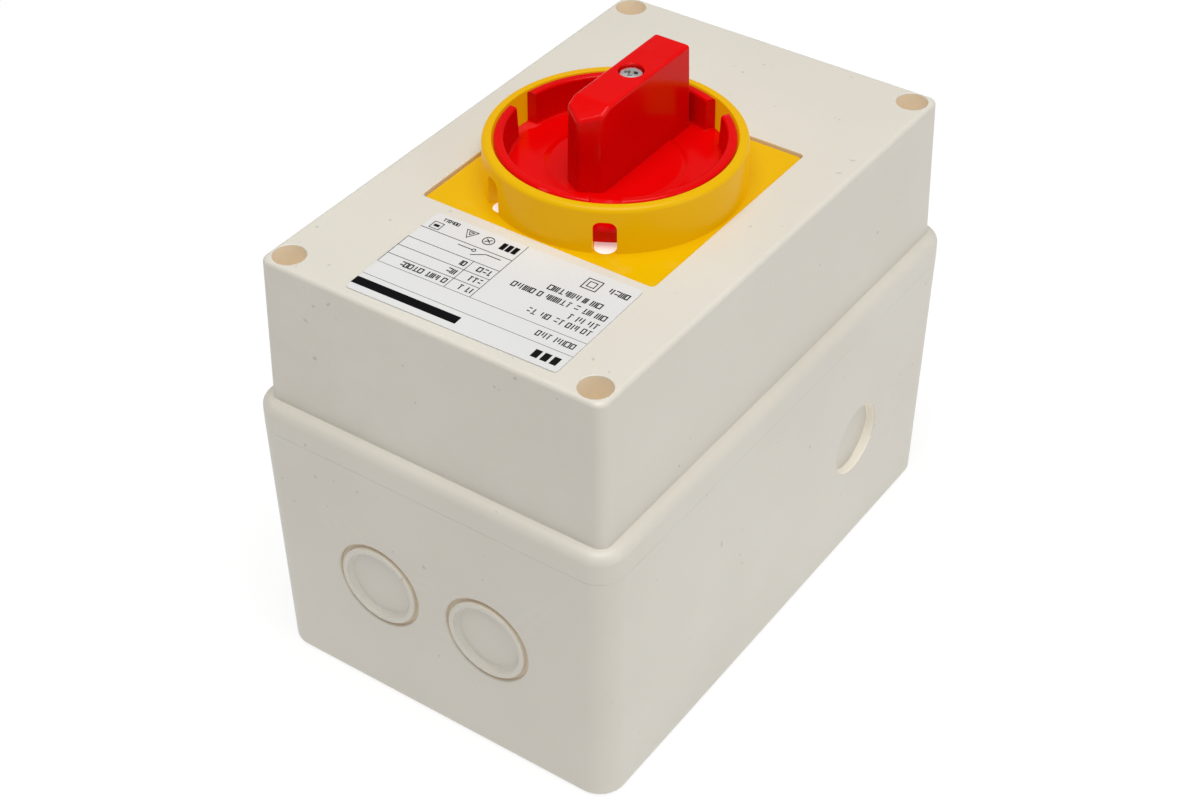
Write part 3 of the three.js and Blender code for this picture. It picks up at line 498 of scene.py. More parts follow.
# painted shade: a dark metal for the inside of the screws' cross recesses
RECESS = plated("screw_recess_painted_shade", (0.34, 0.35, 0.33), (0.16, 0.16, 0.15), 0.5)
STEEL = plated("plain_steel", (0.50, 0.50, 0.50), (0.36, 0.35, 0.34), 0.36)
BRASS = plated("contact_brass", (0.78, 0.55, 0.22), (0.60, 0.40, 0.15), 0.28)

SLOT_MATERIAL = {
    "shell": SHELL,
    "yellow_plastic": YELLOW,
    "red_plastic": RED,
    "white_sheet": WHITE,
    "label": PAPER,
    "black_plastic": BLACK,
    "grey_plastic": GREY,
    "natural_plastic": NATURAL,
    "zinc_plated": ZINC,
    "steel": STEEL,
    "contact_brass": BRASS,
    "rubber": RUBBER,
}


# ---------------------------------------------------------------- enclosure
def seam_section(z, inset, r=None):
    """The seam's outline at a height, drawn in by an inset. Its corners shrink with it, unless r is given."""
    corner = SEAM_R - inset if r is None else r
    return z, rounded_rect(SEAM_X - inset, SEAM_Y - inset, corner, 10)


def base_outside():
    def inset_at(z):
        return REAR_INSET * (1 - z / SEAM_Z)

    sections = []
    steps = 5
    for i in range(steps + 1):
        a = math.radians(90 / steps * i)
        z = REAR_EDGE * (1 - math.cos(a))
        inset = inset_at(z) + REAR_EDGE * (1 - math.sin(a))
        sections.append(seam_section(z, inset, SEAM_R - REAR_EDGE * (1 - math.sin(a))))
    for dx, dz in quarter(SEAM_EDGE, 4):
        z = BASE_TOP - SEAM_EDGE + dz
        sections.append(seam_section(z, inset_at(z) + dx, SEAM_R - dx))
    return sections


def end_entry_places():
    """Where the four round break-outs of the short walls stand, each with its Z out of the wall."""
    wall = SEAM_Y - REAR_INSET * (1 - ENTRY_Z / SEAM_Z)
    return [facing((x, side * wall, ENTRY_Z), (0, side, -REAR_INSET / SEAM_Z))
            for side in (-1, 1) for x in (-ENTRY_X, ENTRY_X)]


def eased(t):
    """Rises from 0 to 1 with a level start and end."""
    return t * t * (3 - 2 * t)


def end_entry_cutters():
    """A ring slit and a dished middle for each break-out of the short walls."""
    out = 1.0
    slit_in = ENTRY_R - ENTRY_SLIT - 0.1
    slit = [(ENTRY_R - ENTRY_SLIT, -ENTRY_DEPTH), (ENTRY_R, -ENTRY_DEPTH)]
    slit += [(ENTRY_R + dx, -ENTRY_LIP + dz) for dx, dz in quarter(ENTRY_LIP, 5)]
    slit += [(ENTRY_R + ENTRY_LIP, out), (slit_in, out), (slit_in, 0.0)]
    dish = [(0, -DISH_DEPTH)]
    steps = 8
    for i in range(steps + 1):
        t = i / steps
        dish.append((DISH_R + DISH_SLOPE * t, -DISH_DEPTH * (1 - eased(t))))
    dish += [(DISH_R + DISH_SLOPE + 0.3, out), (0, out)]
    return [moved(lathed(profile, 96), place) for place in end_entry_places() for profile in (slit, dish)]


def end_entry_beads():
    """The raised bead between each break-out's slit and its dish."""
    steps, root = 10, -0.15
    arch = [math.radians(180 - 180 / steps * i) for i in range(steps + 1)]
    bead = [(BEAD_R + BEAD_HALF * math.cos(a), BEAD_HIGH * math.sin(a)) for a in arch]
    bead += [(BEAD_R + BEAD_HALF, root), (BEAD_R - BEAD_HALF, root)]
    return joined([moved(lathed(bead, 96), place) for place in end_entry_places()])


def side_entry_cutters():
    rounding = 0.5
    hole = lathed(hole_profile(SIDE_ENTRY_R, SIDE_ENTRY_DEPTH, rounding, rounding), 96)
    shapes = []
    for side in (-1, 1):
        place = facing((side * SIDE_ENTRY_WALL, SIDE_ENTRY_Y, SIDE_ENTRY_Z), (side, 0, -REAR_INSET / SEAM_Z))
        shapes.append(moved(hole, place))
    return shapes


def side_entry_pads():
    pad = lathed([(0, 0), (SIDE_PAD_R, 0), (SIDE_PAD_R, SIDE_PAD_HIGH), (0, SIDE_PAD_HIGH)], 64)
    pads = []
    for side in (-1, 1):
        inner = side * (SIDE_ENTRY_WALL - WALL - SIDE_PAD_IN)
        pads.append(moved(pad, facing((inner, SIDE_ENTRY_Y, SIDE_ENTRY_Z), (side, 0, 0))))
    return pads


def turned_column(r, z0, z1, sides):
    return lathed([(0, z0), (r, z0), (r, z1), (0, z1)], sides)


def at_screws(shape):
    """Copies of a shape on the axes of the four lid screws."""
    return [moved(shape, at(sx * SCREW_X, sy * SCREW_Y)) for sx, sy in FOUR]


def enclosure_base():
    body = as_object("box_base", lofted(base_outside()))
    cavity = as_object("cavity", lofted([
        seam_section(WALL, REAR_INSET + WALL, SEAM_R - WALL),
        seam_section(RIM_LOW, WALL, SEAM_R - WALL),
        seam_section(RIM_HIGH, RIM_WALL, RIM_R),
        seam_section(BASE_TOP + 1, RIM_WALL, RIM_R),
    ]))
    bosses = at_screws(turned_column(BOSS_R, WALL - 2, BASE_TOP + 2, 48))
    boolean(cavity, "DIFFERENCE", joined(bosses + side_entry_pads()))
    boolean(body, "DIFFERENCE", cavity)
    groove_outer, groove_inner = seam_section(0, GROOVE_OUT)[1], seam_section(0, GROOVE_IN)[1]
    groove = framed(groove_outer, groove_inner, BASE_TOP - GROOVE_DEPTH, BASE_TOP + 1)
    pilots = at_screws(turned_column(SCREW_HOLE_R, PILOT_FLOOR, BASE_TOP + 1, 24))
    dimple = lathed(hole_profile(DIMPLE_R, DIMPLE_DEPTH, 0.25, 0.3), 32)
    dimples = [moved(dimple, facing((sx * DIMPLE_X, sy * DIMPLE_Y, 0), (0, 0, -1), (0, 1, 0)))
               for sx, sy in FOUR]
    boolean(body, "DIFFERENCE", joined(
        [groove] + pilots + dimples + end_entry_cutters() + side_entry_cutters()))
    boolean(body, "UNION", end_entry_beads())
    dressed(smooth(body), SHELL, "enclosure", "shell", "enclosure_base")
    into_entries = [place.inverted() for place in end_entry_places()]
    room = 0.1

    def in_slit(point):
        for into_entry in into_entries:
            local = into_entry @ point
            across = math.hypot(local.x, local.y)
            if across < ENTRY_R + room and -3 < local.z < -0.4:
                return across > ENTRY_R - ENTRY_SLIT - room
        return False

    def in_side_entry(point):
        """On the wall of the side break-out, clear of its rounded mouth and its floor."""
        across = math.hypot(point.y - SIDE_ENTRY_Y, point.z - SIDE_ENTRY_Z)
        under_face = SIDE_ENTRY_WALL - abs(point.x)
        return SIDE_ENTRY_R - 0.9 < across < SIDE_ENTRY_R + room and 0.3 < under_face < SIDE_ENTRY_DEPTH - 0.1

    # painted light in the break-out slits, and on the wall of the side break-outs
    paint_light_and_shade(body, SHELL_SLIT_PAINTED_LIGHT, in_slit)
    paint_light_and_shade(body, SHELL_SIDE_ENTRY_PAINTED_LIGHT, in_side_entry)


def lid_outside():
    """Sections from the seam, round the shoulder, up the wall and over the front edge."""
    sections = []
    steps = 4
    for i in range(steps + 1):
        a = math.radians(90 / steps * i)
        z = BASE_TOP + SEAM_GAP + SEAM_EDGE * (1 - math.cos(a))
        sections.append(seam_section(z, SEAM_EDGE * (1 - math.sin(a))))
    low = SHOULDER_Z - SHOULDER_ROUND
    for dx, dz in quarter(SHOULDER_ROUND, 9):
        sections.append(seam_section(low + dz, dx, SEAM_R - SHOULDER_TAPER * dx))
    # a small fillet where the shoulder meets the wall
    for inset, rise, r in ((3.08, 0.02, 3.1), (SHOULDER_INSET, 0.16, 3.0)):
        sections.append(seam_section(SHOULDER_Z + rise, inset, r))
    wall_top = LID - FRONT_EDGE
    for dx, dz in quarter(FRONT_EDGE, 6):
        sections.append(seam_section(wall_top + dz, FRONT_INSET + dx, FRONT_R - FRONT_TAPER * dx))
    return sections


def plate_recess():
    """The square seat of the front plate, with a rounded mouth."""
    half = PLATE_HALF + RECESS_GAP
    sections = [(LID - RECESS_DEPTH, rounded_rect(half, half, PLATE_R, 6))]
    for dx, dz in quarter(RECESS_LIP, 4):
        sections.append((LID - RECESS_LIP + dz, rounded_rect(half + dx, half + dx, PLATE_R + dx, 6)))
    wide = half + RECESS_LIP
    sections.append((LID + 1, rounded_rect(wide, wide, PLATE_R + RECESS_LIP, 6)))
    return lofted(sections)


def well():
    """A deep screw well with a rounded mouth, and the screw's own hole under it."""
    profile = [(0, SEAM_Z - 1), (SCREW_HOLE_R, SEAM_Z - 1), (SCREW_HOLE_R, WELL_FLOOR)]
    profile.append((WELL_R - WELL_LEAN, WELL_FLOOR))
    profile += [(WELL_R + dx, LID - LIP + dz) for dx, dz in quarter(LIP, 5)]
    profile += [(WELL_R + LIP, LID + 1), (0, LID + 1)]
    return lathed(profile, 64)


def enclosure_lid():
    body = as_object("box_lid", lofted(lid_outside()))
    cavity = as_object("cavity", lofted([
        seam_section(SEAM_Z - 1, RIM_WALL, RIM_R),
        seam_section(SHOULDER_Z, SHOULDER_INSET + WALL, LID_ROOM_R),
        seam_section(LID - WALL, FRONT_INSET + WALL, LID_ROOM_TOP_R),
    ]))
    posts = at_screws(turned_column(POST_R, SEAM_Z - 3, LID, 48))
    pad = block(-LID_PAD, LID_PAD, -LID_PAD, LID_PAD, LID - LID_PAD_DEPTH, LID)
    boolean(cavity, "DIFFERENCE", joined(posts + [pad]))
    boolean(body, "DIFFERENCE", cavity)
    boolean(body, "DIFFERENCE", joined([plate_recess()] + at_screws(well())))
    below, above = LID - 8, LID - 2
    seat = LID - SEAL_SEAT_DEPTH
    centre = lathed([(0, below), (HUB_HOLE_R, below), (HUB_HOLE_R, seat), (SEAL_SEAT_R, seat),
                     (SEAL_SEAT_R, above), (0, above)], 64)
    hole = turned_column(SCREW_HOLE_R, below, above, 24)
    holes = [moved(hole, at(sx * PLATE_SCREW_AT, sy * PLATE_SCREW_AT)) for sx, sy in FOUR]
    boolean(body, "DIFFERENCE", joined([centre] + holes))
    dressed(smooth(body), SHELL, "enclosure", "shell", "enclosure_lid")

    def in_well(point):
        if not WELL_FLOOR - 0.1 < point.z < LID - LIP:
            return False
        return math.hypot(abs(point.x) - abs(SCREW_X), abs(point.y) - abs(SCREW_Y)) < WELL_R + 0.05

    # painted light: the screw wells' warm tan and glow
    paint_light_and_shade(body, SHELL_WELL_PAINTED_LIGHT, in_well)


# ---------------------------------------------------------------- front plate and handle
def across_a_wall(outline, r0, r1):
    """An outline of (across, height) drawn out along +X from one radius to another."""
    stand = Matrix(((0, 0, 1, 0), (1, 0, 0, 0), (0, 1, 0, LID), (0, 0, 0, 1)))
    return moved(lofted([(r, outline) for r in (r0, r1)]), stand)


def window_cutter():
    """A padlock window: open at the foot, its upper corners rounded."""
    half = WINDOW_WIDTH / 2
    outline = [(-half, PLATE_TOP - 1.0), (half, PLATE_TOP - 1.0)]
    arc = [(half - dx, WINDOW_TOP - WINDOW_ROUND + dz) for dx, dz in quarter(WINDOW_ROUND, 8)]
    outline += arc + [(-x, z) for x, z in reversed(arc)]
    inside, outside = 26.5, 33.5
    return across_a_wall(outline, inside, outside)


def ring_wall():
    """The ring around the cup, with its padlock windows."""
    foot = PLATE_TOP - 0.6
    profile = [(RING_INNER, foot), (RING_OUTER, foot)]
    profile += [(RING_OUTER - dx, RING_TOP - RING_ROUND + dz) for dx, dz in quarter(RING_ROUND, 6)]
    profile += [(RING_INNER + dx, RING_TOP - RING_INNER_ROUND + dz)
                for dx, dz in reversed(quarter(RING_INNER_ROUND, 4))]
    wall = as_object("wall", moved(lathed(profile, 144), at(0, 0, LID)))
    cutter = window_cutter()
    boolean(wall, "DIFFERENCE", joined([moved(cutter, turned_by(a)) for a in WINDOW_ANGLES]))
    bevelled(wall, width=0.18, segments=2, degrees=50)
    return wall


def front_plate():
    wall = ring_wall()
    sections = [(LID + PLATE_UNDER, rounded_rect(PLATE_HALF, PLATE_HALF, PLATE_R, 6))]
    for dx, dz in quarter(PLATE_EDGE, 3):
        half = PLATE_HALF - dx
        sections.append((LID + PLATE_TOP - PLATE_EDGE + dz, rounded_rect(half, half, PLATE_R - dx, 6)))
    plate = as_object("padlock_plate", lofted(sections))
    centre = moved(turned_column(PLATE_HOLE_R, -6, 1, 64), at(0, 0, LID))
    below, above = PLATE_UNDER - 1, PLATE_TOP + 1
    sink = lathed([(0, below), (SINK_SHANK_R, below), (SINK_SHANK_R, PLATE_UNDER), (SINK_R, PLATE_TOP),
                   (SINK_R, above), (0, above)], 32)
    sinks = [moved(sink, at(sx * PLATE_SCREW_AT, sy * PLATE_SCREW_AT, LID)) for sx, sy in FOUR]
    slot = window_slot(WINDOW_HOLE_R, below, above)
    holes = [moved(slot, turned_by(a)) for a in WINDOW_ANGLES]
    boolean(plate, "DIFFERENCE", joined([centre] + sinks + holes))
    boolean(plate, "UNION", wall)
    dressed(smooth(plate), YELLOW, "enclosure", "yellow_plastic", "front_plate")


def window_slot(r, z0, z1):
    """A slot with round ends under a window, from below the ring in towards the handle's middle."""
    steps = 24
    arc = [math.radians(-90 + 180 / steps * i) for i in range(steps + 1)]
    outer = [(WINDOW_HOLE_AT + r * math.cos(a), r * math.sin(a)) for a in arc]
    inner = [(WINDOW_SLOT_FROM - r * math.cos(a), -r * math.sin(a)) for a in arc]
    return lofted([(LID + z, outer + inner) for z in (z0, z1)])


def window_plugs():
    """White plugs of the seal that fill the slots under the windows."""
    plug = window_slot(WINDOW_HOLE_R - PLUG_GAP, PLATE_UNDER, PLATE_TOP - PLUG_SUNK)
    plugs = as_object("window_plugs", joined([moved(plug, turned_by(a)) for a in WINDOW_ANGLES]))
    bevelled(plugs, width=0.1, segments=2, degrees=50)
    dressed(smooth(plugs), WHITE, "enclosure", "white_sheet")


def notch_cutter():
    """A slot across the cup's wall with rounded lower corners, a little wider at the top."""
    centre_x = NOTCH_HALF_LOW - NOTCH_CORNER
    centre_z = FLOOR_Z + 0.02 + NOTCH_CORNER
    steps = 6
    outline = []
    for i in range(steps + 1):
        a = math.radians(-90 + 90 / steps * i)
        outline.append((centre_x + NOTCH_CORNER * math.cos(a), centre_z + NOTCH_CORNER * math.sin(a)))
    outline.append((NOTCH_HALF_HIGH, RIM_Z + 3))
    outline += [(-x, z) for x, z in reversed(outline)]
    inside, outside = 22.2, 31.0
    return across_a_wall(outline, inside, outside)


def cup_profile():
    """Underside, outer wall, rounded rim, inner wall, fillet, floor and the low disc in its middle."""
    skirt = FLOOR_R + 0.3
    profile = [(0, CUP_UNDER), (skirt, CUP_UNDER), (skirt, SKIRT_UNDER), (CUP_OUTER - 0.2, SKIRT_UNDER)]
    profile.append((CUP_OUTER, SKIRT_UNDER + 0.2))
    profile += [(CUP_OUTER - dx, RIM_Z - RIM_ROUND + dz) for dx, dz in quarter(RIM_ROUND, 7)]
    arc = [math.radians(15 * i) for i in range(7)]
    profile += [(RIM_INNER + RIM_INNER_ROUND * (1 - math.sin(a)), RIM_Z - RIM_INNER_ROUND * (1 - math.cos(a)))
                for a in arc]
    wall_foot = FLOOR_R + 0.4
    profile += [(wall_foot - FLOOR_FILLET * (1 - math.cos(a)), FLOOR_Z + FLOOR_FILLET * (1 - math.sin(a)))
                for a in arc]
    steps = 8
    for i in range(steps + 1):
        t = i / steps
        profile.append((DISC_R + 1.0 - 2.0 * t, FLOOR_Z + (DISC_Z - FLOOR_Z) * eased(t)))
    profile.append((0, DISC_Z))
    return profile


def cup():
    """The cup with its three rim notches."""
    profile = cup_profile()
    gaps = [(a + side * NOTCH_GAP_AT, NOTCH_GAP_REACH) for a in NOTCH_ANGLES for side in (-1, 1)]
    body = as_object("turn_handle", moved(lathed(profile, 180, gaps), at(0, 0, LID)))
    cutter = notch_cutter()
    boolean(body, "DIFFERENCE", joined([moved(cutter, turned_by(a)) for a in NOTCH_ANGLES]))
    bevelled(body, width=0.4, segments=3, degrees=50)
    return body


def grip():
    """The bar: drafted sides, a pointed nose, a facet that falls towards it, and rounded edges."""
    def outline(w, end):
        return [(w, GRIP_TAIL - end), (w, GRIP_SHOULDER + end), (0, GRIP_NOSE + end),
                (-w, GRIP_SHOULDER + end), (-w, GRIP_TAIL - end)]

    foot = LID + FLOOR_Z - 1.5
    top = LID + GRIP_TOP
    sections = [(foot, outline(GRIP_BASE_HALF, GRIP_DRAFT)), (top, outline(GRIP_HALF, 0))]
    bar = as_object("grip", lofted(sections))
    bm = bmesh.new()
    bm.from_mesh(bar.data)
    fall = Vector((0, GRIP_NOSE - GRIP_SLOPE, NOSE_Z - GRIP_TOP))
    normal = Vector((0, -fall.z, fall.y))
    everything = bm.verts[:] + bm.edges[:] + bm.faces[:]
    start = Vector((0, GRIP_SLOPE, top)) * MM
    cut = bmesh.ops.bisect_plane(bm, geom=everything, dist=1e-7, plane_co=start, plane_no=normal,
                                 clear_outer=True)
    rim = [e for e in cut["geom_cut"] if isinstance(e, bmesh.types.BMEdge)]
    bmesh.ops.contextual_create(bm, geom=rim)
    bmesh.ops.remove_doubles(bm, verts=bm.verts[:], dist=1e-6)
    bmesh.ops.recalc_face_normals(bm, faces=bm.faces[:])
    # every edge but those around the foot, which sits inside the cup's floor
    edges = [e for e in bm.edges if min(v.co.z for v in e.verts) > (foot + 0.1) * MM
             or abs(e.verts[0].co.z - e.verts[1].co.z) > 1.0 * MM]
    bmesh.ops.bevel(bm, geom=edges, offset=GRIP_EDGE * MM, segments=5, profile=0.5, affect="EDGES")
    bm.to_mesh(bar.data)
    bm.free()
    return bar


def handle():
    """The red moulding: cup and bar, the screw's seat and bore, and the key that enters the hub below."""
    body = cup()
    boolean(body, "UNION", grip())
    seat = hole_profile(SCREW_SEAT_R, GRIP_TOP - GRIP_SCREW_TOP + SCREW_SEAT_DEEPER, LIP)
    place = at(0, GRIP_SCREW_Y, LID + GRIP_TOP)
    boolean(body, "DIFFERENCE", moved(lathed(seat, 48), place))
    boolean(body, "DIFFERENCE", moved(turned_column(SCREW_BORE_R, -SCREW_BORE_DEPTH, -2, 24), place))
    boolean(body, "UNION", block(-KEY_HALF, KEY_HALF, KEY_FROM, KEY_TO, LID + KEY_LOW, LID + KEY_HIGH))
    dressed(smooth(body), RED, "handle", "red_plastic", "handle")


def screw_profile(length, head_r, head_h, shank_r, dome):
    """From the shank's tip at -length to the middle of the domed head at 0."""
    point, edge = 0.6, 0.15
    profile = [(0, -length), (shank_r * 0.8, -length), (shank_r, -length + point), (shank_r, -head_h)]
    profile += [(head_r - edge, -head_h), (head_r, edge - head_h), (head_r, -dome - 0.2)]
    steps = 6
    for i in range(1, steps):
        a = math.radians(90 * i / steps)
        profile.append((head_r * math.cos(a * 0.995), -dome + dome * math.sin(a)))
    profile.append((0, 0))
    return profile


def recess_bar(arm, width, depth):
    """One bar of a cross recess: short and narrow at its foot, longer and wider at its mouth."""
    foot_x, mouth_x, mouth_y = arm * 0.35, arm * 1.1, width * 1.3
    foot = [(foot_x, width), (-foot_x, width), (-foot_x, -width), (foot_x, -width)]
    mouth = [(mouth_x, mouth_y), (-mouth_x, mouth_y), (-mouth_x, -mouth_y), (mouth_x, -mouth_y)]
    return lofted([(-depth, foot), (0.3, mouth)])


def cross_screw(name, x, y, top, tip, head_r, head_h, shank_r, dome, body_name, node):
    """A screw with a domed head and a tapered cross recess, whose inside gets painted shade."""
    place = at(x, y, top)
    screw = as_object(name, moved(lathed(screw_profile(top - tip, head_r, head_h, shank_r, dome), 48), place))
    bar = recess_bar(0.66 * head_r, 0.17 * head_r, 0.6 * head_h)
    for turn in (20, 110):
        boolean(screw, "DIFFERENCE", moved(bar, place @ turned_by(turn)))
    dressed(smooth(screw), ZINC, body_name, "zinc_plated", node)

    def in_recess(point):
        across = math.hypot(point.x - x, point.y - y)
        return across < 0.75 * head_r and top - head_h < point.z < top - dome * 0.75

    # painted shade inside the cross recess
    paint_light_and_shade(screw, RECESS, in_recess)


def screws():
    cross_screw("grip_screw", 0, GRIP_SCREW_Y, SCREW_HIGH.z, SCREW_LOW.z, head_r=2.7, head_h=1.9, shank_r=1.3,
                dome=0.4, body_name="handle", node="handle_screw")
    for i, (sx, sy) in enumerate(FOUR):
        cross_screw(f"corner_screw_{i + 1}", sx * SCREW_X, sy * SCREW_Y, LID_SCREW_HIGH.z, LID_SCREW_LOW.z,
                    head_r=3.4, head_h=2.6, shank_r=1.8, dome=0.8, body_name="enclosure",
                    node=f"lid_screw_{i + 1}")


# ---------------------------------------------------------------- label
LABEL_TOP = LID + 0.30
INK_Z = (LABEL_TOP, LABEL_TOP + 0.02)
INK_STEP = 0.0004  # rise from one stroke to the next
RULE = 0.11  # width of a ruled line
TYPE, TABLE_TYPE, SMALL_TYPE = 1.9, 1.8, 1.1  # heights of the stand-in type
TABLE_LEFT, TABLE_RIGHT, TABLE_COLUMN = 2.7, 27.9, 9.6
# places on the label are in millimetres from its middle, before it is turned and put on the lid


def label_place(shape):
    return moved(shape, at(LABEL_X, LABEL_Y) @ turned_by(LABEL_TURN))


def ink_bar(x0, x1, y0, y1):
    return block(x0, x1, y0, y1, *INK_Z)


def ink_ring(x, y, outer, inner, sides=24, start=0.0):
    points = [(math.cos(2 * math.pi * i / sides + start), math.sin(2 * math.pi * i / sides + start))
              for i in range(sides)]
    return moved(framed([(outer * px, outer * py) for px, py in points],
                        [(inner * px, inner * py) for px, py in points], *INK_Z), at(x, y))


def ink_line(x0, y0, x1, y1, width):
    length = math.hypot(x1 - x0, y1 - y0)
    bar = ink_bar(0, length, -width / 2, width / 2)
    return moved(bar, at(x0, y0) @ Matrix.Rotation(math.atan2(y1 - y0, x1 - x0), 4, "Z"))


def greeked(x, y, words, size, draw):
    """A line of stand-in type: each letter is drawn at random from a few strokes, and says nothing."""
    shapes = []
    stroke = size * 0.15
    for letters in words:
        for _ in range(letters):
            kind = draw.choice(("tick", "pair", "block", "low", "high", "box", "box", "comb"))
            wide = size * draw.choice((0.42, 0.5, 0.56))
            if kind == "tick":
                wide = stroke
                shapes.append(ink_bar(x, x + stroke, y, y + size))
            elif kind == "pair":
                shapes.append(ink_bar(x, x + stroke, y, y + size))
                shapes.append(ink_bar(x + wide - stroke, x + wide, y, y + size * 0.7))
            elif kind == "block":
                shapes.append(ink_bar(x, x + wide, y, y + stroke))
                shapes.append(ink_bar(x, x + wide, y + size * 0.62, y + size * 0.62 + stroke))
            elif kind == "box":
                shapes += [ink_bar(side, side + stroke, y, y + size) for side in (x, x + wide)]
                levels = (y, y + size - stroke)
                shapes += [ink_bar(x + stroke, x + wide, level, level + stroke) for level in levels]
            elif kind == "comb":
                shapes += [ink_bar(x + step, x + step + stroke, y, y + size) for step in (0, wide / 2, wide)]
            elif kind == "low":
                shapes.append(ink_bar(x, x + wide, y, y + stroke))
                shapes.append(ink_bar(x + wide * 0.4, x + wide * 0.4 + stroke, y + stroke * 1.5, y + size))
            else:
                shapes.append(ink_bar(x, x + wide, y + size - stroke, y + size))
                shapes.append(ink_bar(x + wide * 0.5, x + wide * 0.5 + stroke, y, y + size - stroke * 1.6))
            x += wide + size * 0.22
        x += size * 0.42
    return shapes


def print_head():
    """A black bar, and three plain blocks where a name would be."""
    blocks = [ink_bar(x, x + 1.7, 12.7, 15.4) for x in (-26.6, -24.2, -21.8)]
    return [ink_bar(-0.3, 28.0, 12.5, 15.1)] + blocks


def print_rows(draw):
    """Two ruled lines across the label, and the rows of stand-in type on its left half."""
    shapes = [ink_bar(-28.0, 28.0, y, y + RULE) for y in (10.8, 5.5)]
    rows = ((-26.6, 7.0, (5, 3)), (-26.8, 1.3, (2, 3, 2, 2, 2)), (-26.8, -1.5, (2, 2, 1)),
            (-26.8, -4.8, (2, 2, 1, 5, 1, 5)), (-23.6, -8.0, (2, 1, 6)), (-26.8, -13.9, (4,)))
    for x, y, words in rows:
        shapes += greeked(x, y, words, TYPE, draw)
    return shapes


def print_double_square():
    corner = math.sqrt(0.5)  # a ring of four sides is sized over its corners
    return [ink_ring(-17.3, -12.7, outer / corner, inner / corner, 4, math.pi / 4)
            for outer, inner in ((2.0, 1.78), (1.05, 0.85))]


def print_table(draw):
    low, high = -5.8, 5.5
    shapes = [ink_bar(TABLE_LEFT, TABLE_RIGHT, y, y + RULE) for y in (1.75, -2.0, low)]
    shapes.append(ink_bar(TABLE_LEFT - RULE, TABLE_LEFT, -17.0, high))
    shapes += [ink_bar(x, x + RULE, low, high) for x in (TABLE_RIGHT, TABLE_COLUMN)]
    shapes += greeked(TABLE_LEFT + 0.8, 2.7, (2, 1), TABLE_TYPE, draw)
    shapes += greeked(TABLE_COLUMN + 0.8, 2.7, (1, 3, 5), TABLE_TYPE, draw)
    for y in (-1.0, -4.8):
        shapes += greeked(TABLE_LEFT + 0.9, y, (3,), TABLE_TYPE, draw)
        shapes += greeked(TABLE_COLUMN + 0.9, y, (2,), TABLE_TYPE, draw)
    return shapes


def print_symbols(draw):
    """An open switch in a circuit, and under a line the plain shapes where approval marks would be."""
    wire = RULE * 1.5
    shapes = [ink_bar(TABLE_LEFT, 28.0, -10.6, -10.6 + RULE)]
    shapes += [ink_line(4.9, -9.3, 8.9, -9.3, wire), ink_line(8.9, -9.3, 12.0, -7.4, wire),
               ink_ring(12.2, -9.2, 0.55, 0.38), ink_line(12.8, -9.2, 16.6, -9.2, wire)]
    shapes += [ink_bar(3.6 + 1.6 * i, 4.8 + 1.6 * i, -15.2, -12.7) for i in range(3)]
    shapes += [ink_ring(11.5, -13.9, 1.5, 1.3), ink_line(10.8, -14.5, 12.2, -13.3, 0.22),
               ink_line(10.8, -13.3, 12.2, -14.5, 0.22)]
    upright, flat = math.pi / 2, math.pi / 4
    shapes += [ink_ring(16.6, -14.2, 2.0, 1.7, 3, upright), ink_ring(16.6, -14.3, 0.9, 0.6, 3, upright)]
    shapes += [ink_ring(25.0, -12.5, 1.9, 1.72, 4, flat), ink_bar(24.3, 25.7, -12.9, -12.1)]
    shapes += greeked(20.6, -15.9, (6,), SMALL_TYPE, draw)
    return shapes


def rating_print():
    draw = random.Random(7)
    shapes = print_head() + print_rows(draw) + print_double_square() + print_table(draw) + print_symbols(draw)
    # strokes that cross share space, so each stroke stays a body of its own at a height of its own
    lifted = [moved(shape, at(0, 0, INK_STEP * i)) for i, shape in enumerate(shapes)]
    ink = as_object("label_print", label_place(joined(lifted)))
    dressed(ink, INK, "enclosure", "label")


def rating_label():
    half_w, half_h = LABEL_W / 2, LABEL_H / 2
    sections = [(LID + LABEL_UNDER, rounded_rect(half_w, half_h, LABEL_R, 8)),
                (LABEL_TOP - LABEL_EDGE, rounded_rect(half_w, half_h, LABEL_R, 8)),
                (LABEL_TOP, rounded_rect(half_w - LABEL_EDGE, half_h - LABEL_EDGE, LABEL_R - LABEL_EDGE, 8))]
    sheet = as_object("label_sheet", label_place(lofted(sections)))
    dressed(smooth(sheet), PAPER, "enclosure", "label", "rating_label")
    rating_print()


# ---------------------------------------------------------------- scene
def carried_over():
    """Gives each CAD node the material of its slot in the record."""
    for row in frame["record"]["subparts"]:
        obj = frame["nodes"][row["node"]]
        obj.data.materials.clear()
        obj.data.materials.append(SLOT_MATERIAL[row["material_slot"]])


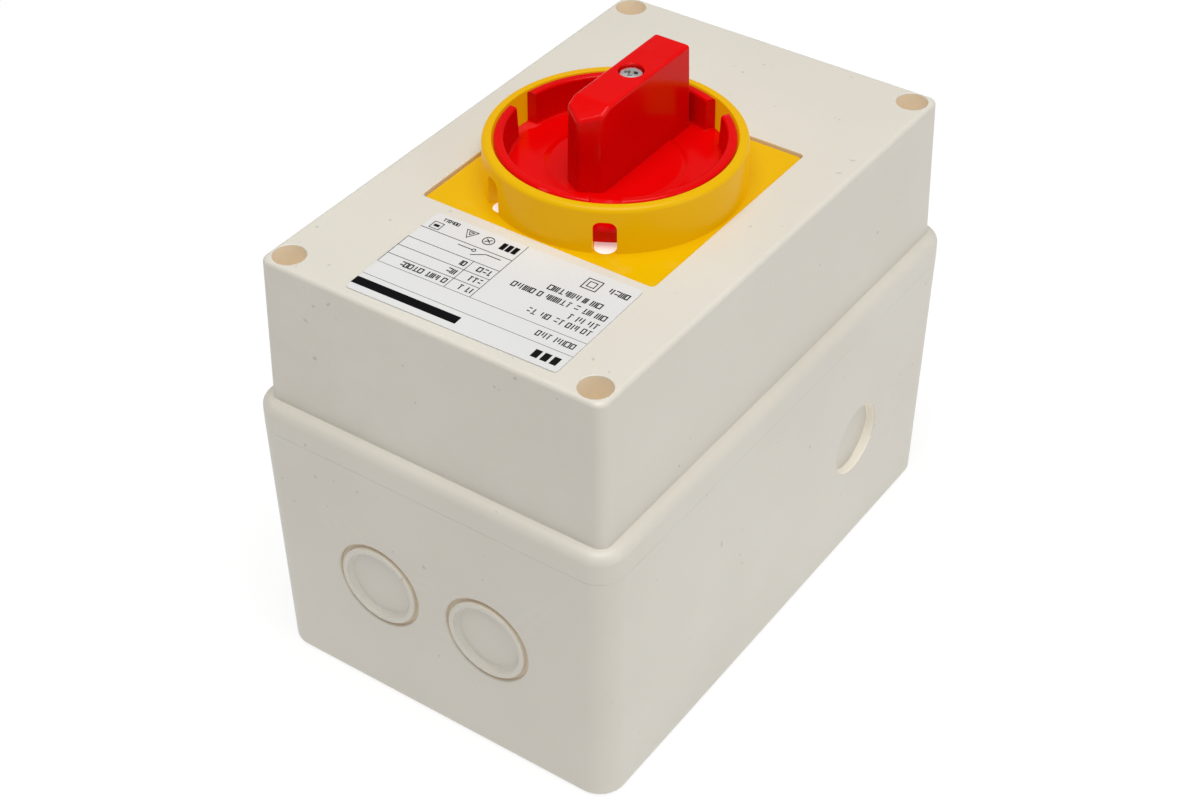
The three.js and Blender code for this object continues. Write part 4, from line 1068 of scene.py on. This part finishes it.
def floor():
    """A pale floor just under the part that glows near it and darkens further away."""
    size, drop = 6.0, -0.0004
    mesh = bpy.data.meshes.new("floor")
    corners = [(-size, -size, drop), (size, -size, drop), (size, size, drop), (-size, size, drop)]
    mesh.from_pydata(corners, [], [(0, 1, 2, 3)])
    obj = bpy.data.objects.new("floor", mesh)
    bpy.context.scene.collection.objects.link(obj)
    material = bpy.data.materials.new("pale_floor")
    material.use_nodes = True
    shader = material.node_tree.nodes["Principled BSDF"]
    shader.inputs["Base Color"].default_value = (0.25, 0.25, 0.25, 1)
    shader.inputs["Roughness"].default_value = 0.9
    shader.inputs["Specular IOR Level"].default_value = 0.0
    shader.inputs["Emission Color"].default_value = (1, 1, 1, 1)
    nodes, links = material.node_tree.nodes, material.node_tree.links
    distance = nodes.new("ShaderNodeVectorMath")
    distance.operation = "LENGTH"
    links.new(nodes.new("ShaderNodeTexCoord").outputs["Object"], distance.inputs[0])
    fall = nodes.new("ShaderNodeMapRange")
    fall.interpolation_type = "SMOOTHSTEP"
    for name, value in (("From Min", 0.5), ("From Max", 0.9), ("To Min", 0.77), ("To Max", 0.45)):
        fall.inputs[name].default_value = value
    links.new(distance.outputs["Value"], fall.inputs["Value"])
    links.new(fall.outputs["Result"], shader.inputs["Emission Strength"])
    mesh.materials.append(material)


def area_light(name, place, aim, size, watts):
    light = bpy.data.lights.new(name, "AREA")
    light.shape = "DISK"
    light.size = size
    light.energy = watts
    obj = bpy.data.objects.new(name, light)
    obj.location = place
    obj.rotation_euler = (Vector(aim) - Vector(place)).to_track_quat("-Z", "Y").to_euler()
    bpy.context.scene.collection.objects.link(obj)


def studio():
    world = bpy.data.worlds.new("studio")
    bpy.context.scene.world = world
    world.use_nodes = True
    background = world.node_tree.nodes["Background"]
    background.inputs["Color"].default_value = (1.0, 1.0, 1.0, 1)
    background.inputs["Strength"].default_value = 0.28
    area_light("top_softbox", place=(-0.15, 0.2, 1.3), aim=(0, 0, 0.05), size=1.1, watts=15.6)
    area_light("side_softbox", place=(-1.3, -0.1, 0.55), aim=(0, 0, 0.06), size=0.9, watts=3.0)
    view = bpy.context.scene.view_settings
    view.view_transform = "Standard"
    view.look = "None"


def camera():
    data = bpy.data.cameras.new("camera")
    data.sensor_width = 36.0
    data.lens = 66.19
    data.clip_start = 0.01
    obj = bpy.data.objects.new("camera", data)
    place = Vector((-246.87, 358.63, 403.58)) * MM
    aim = Vector((-4.29, 13.03, 60.0)) * MM
    roll = Matrix.Rotation(math.radians(-0.383), 4, "Z")
    look = (aim - place).to_track_quat("-Z", "Y").to_matrix().to_4x4()
    obj.matrix_world = Matrix.Translation(place) @ look @ roll
    bpy.context.scene.collection.objects.link(obj)
    bpy.context.scene.camera = obj


camera()
studio()
floor()
carried_over()
enclosure_base()
enclosure_lid()
front_plate()
window_plugs()
handle()
screws()
rating_label()
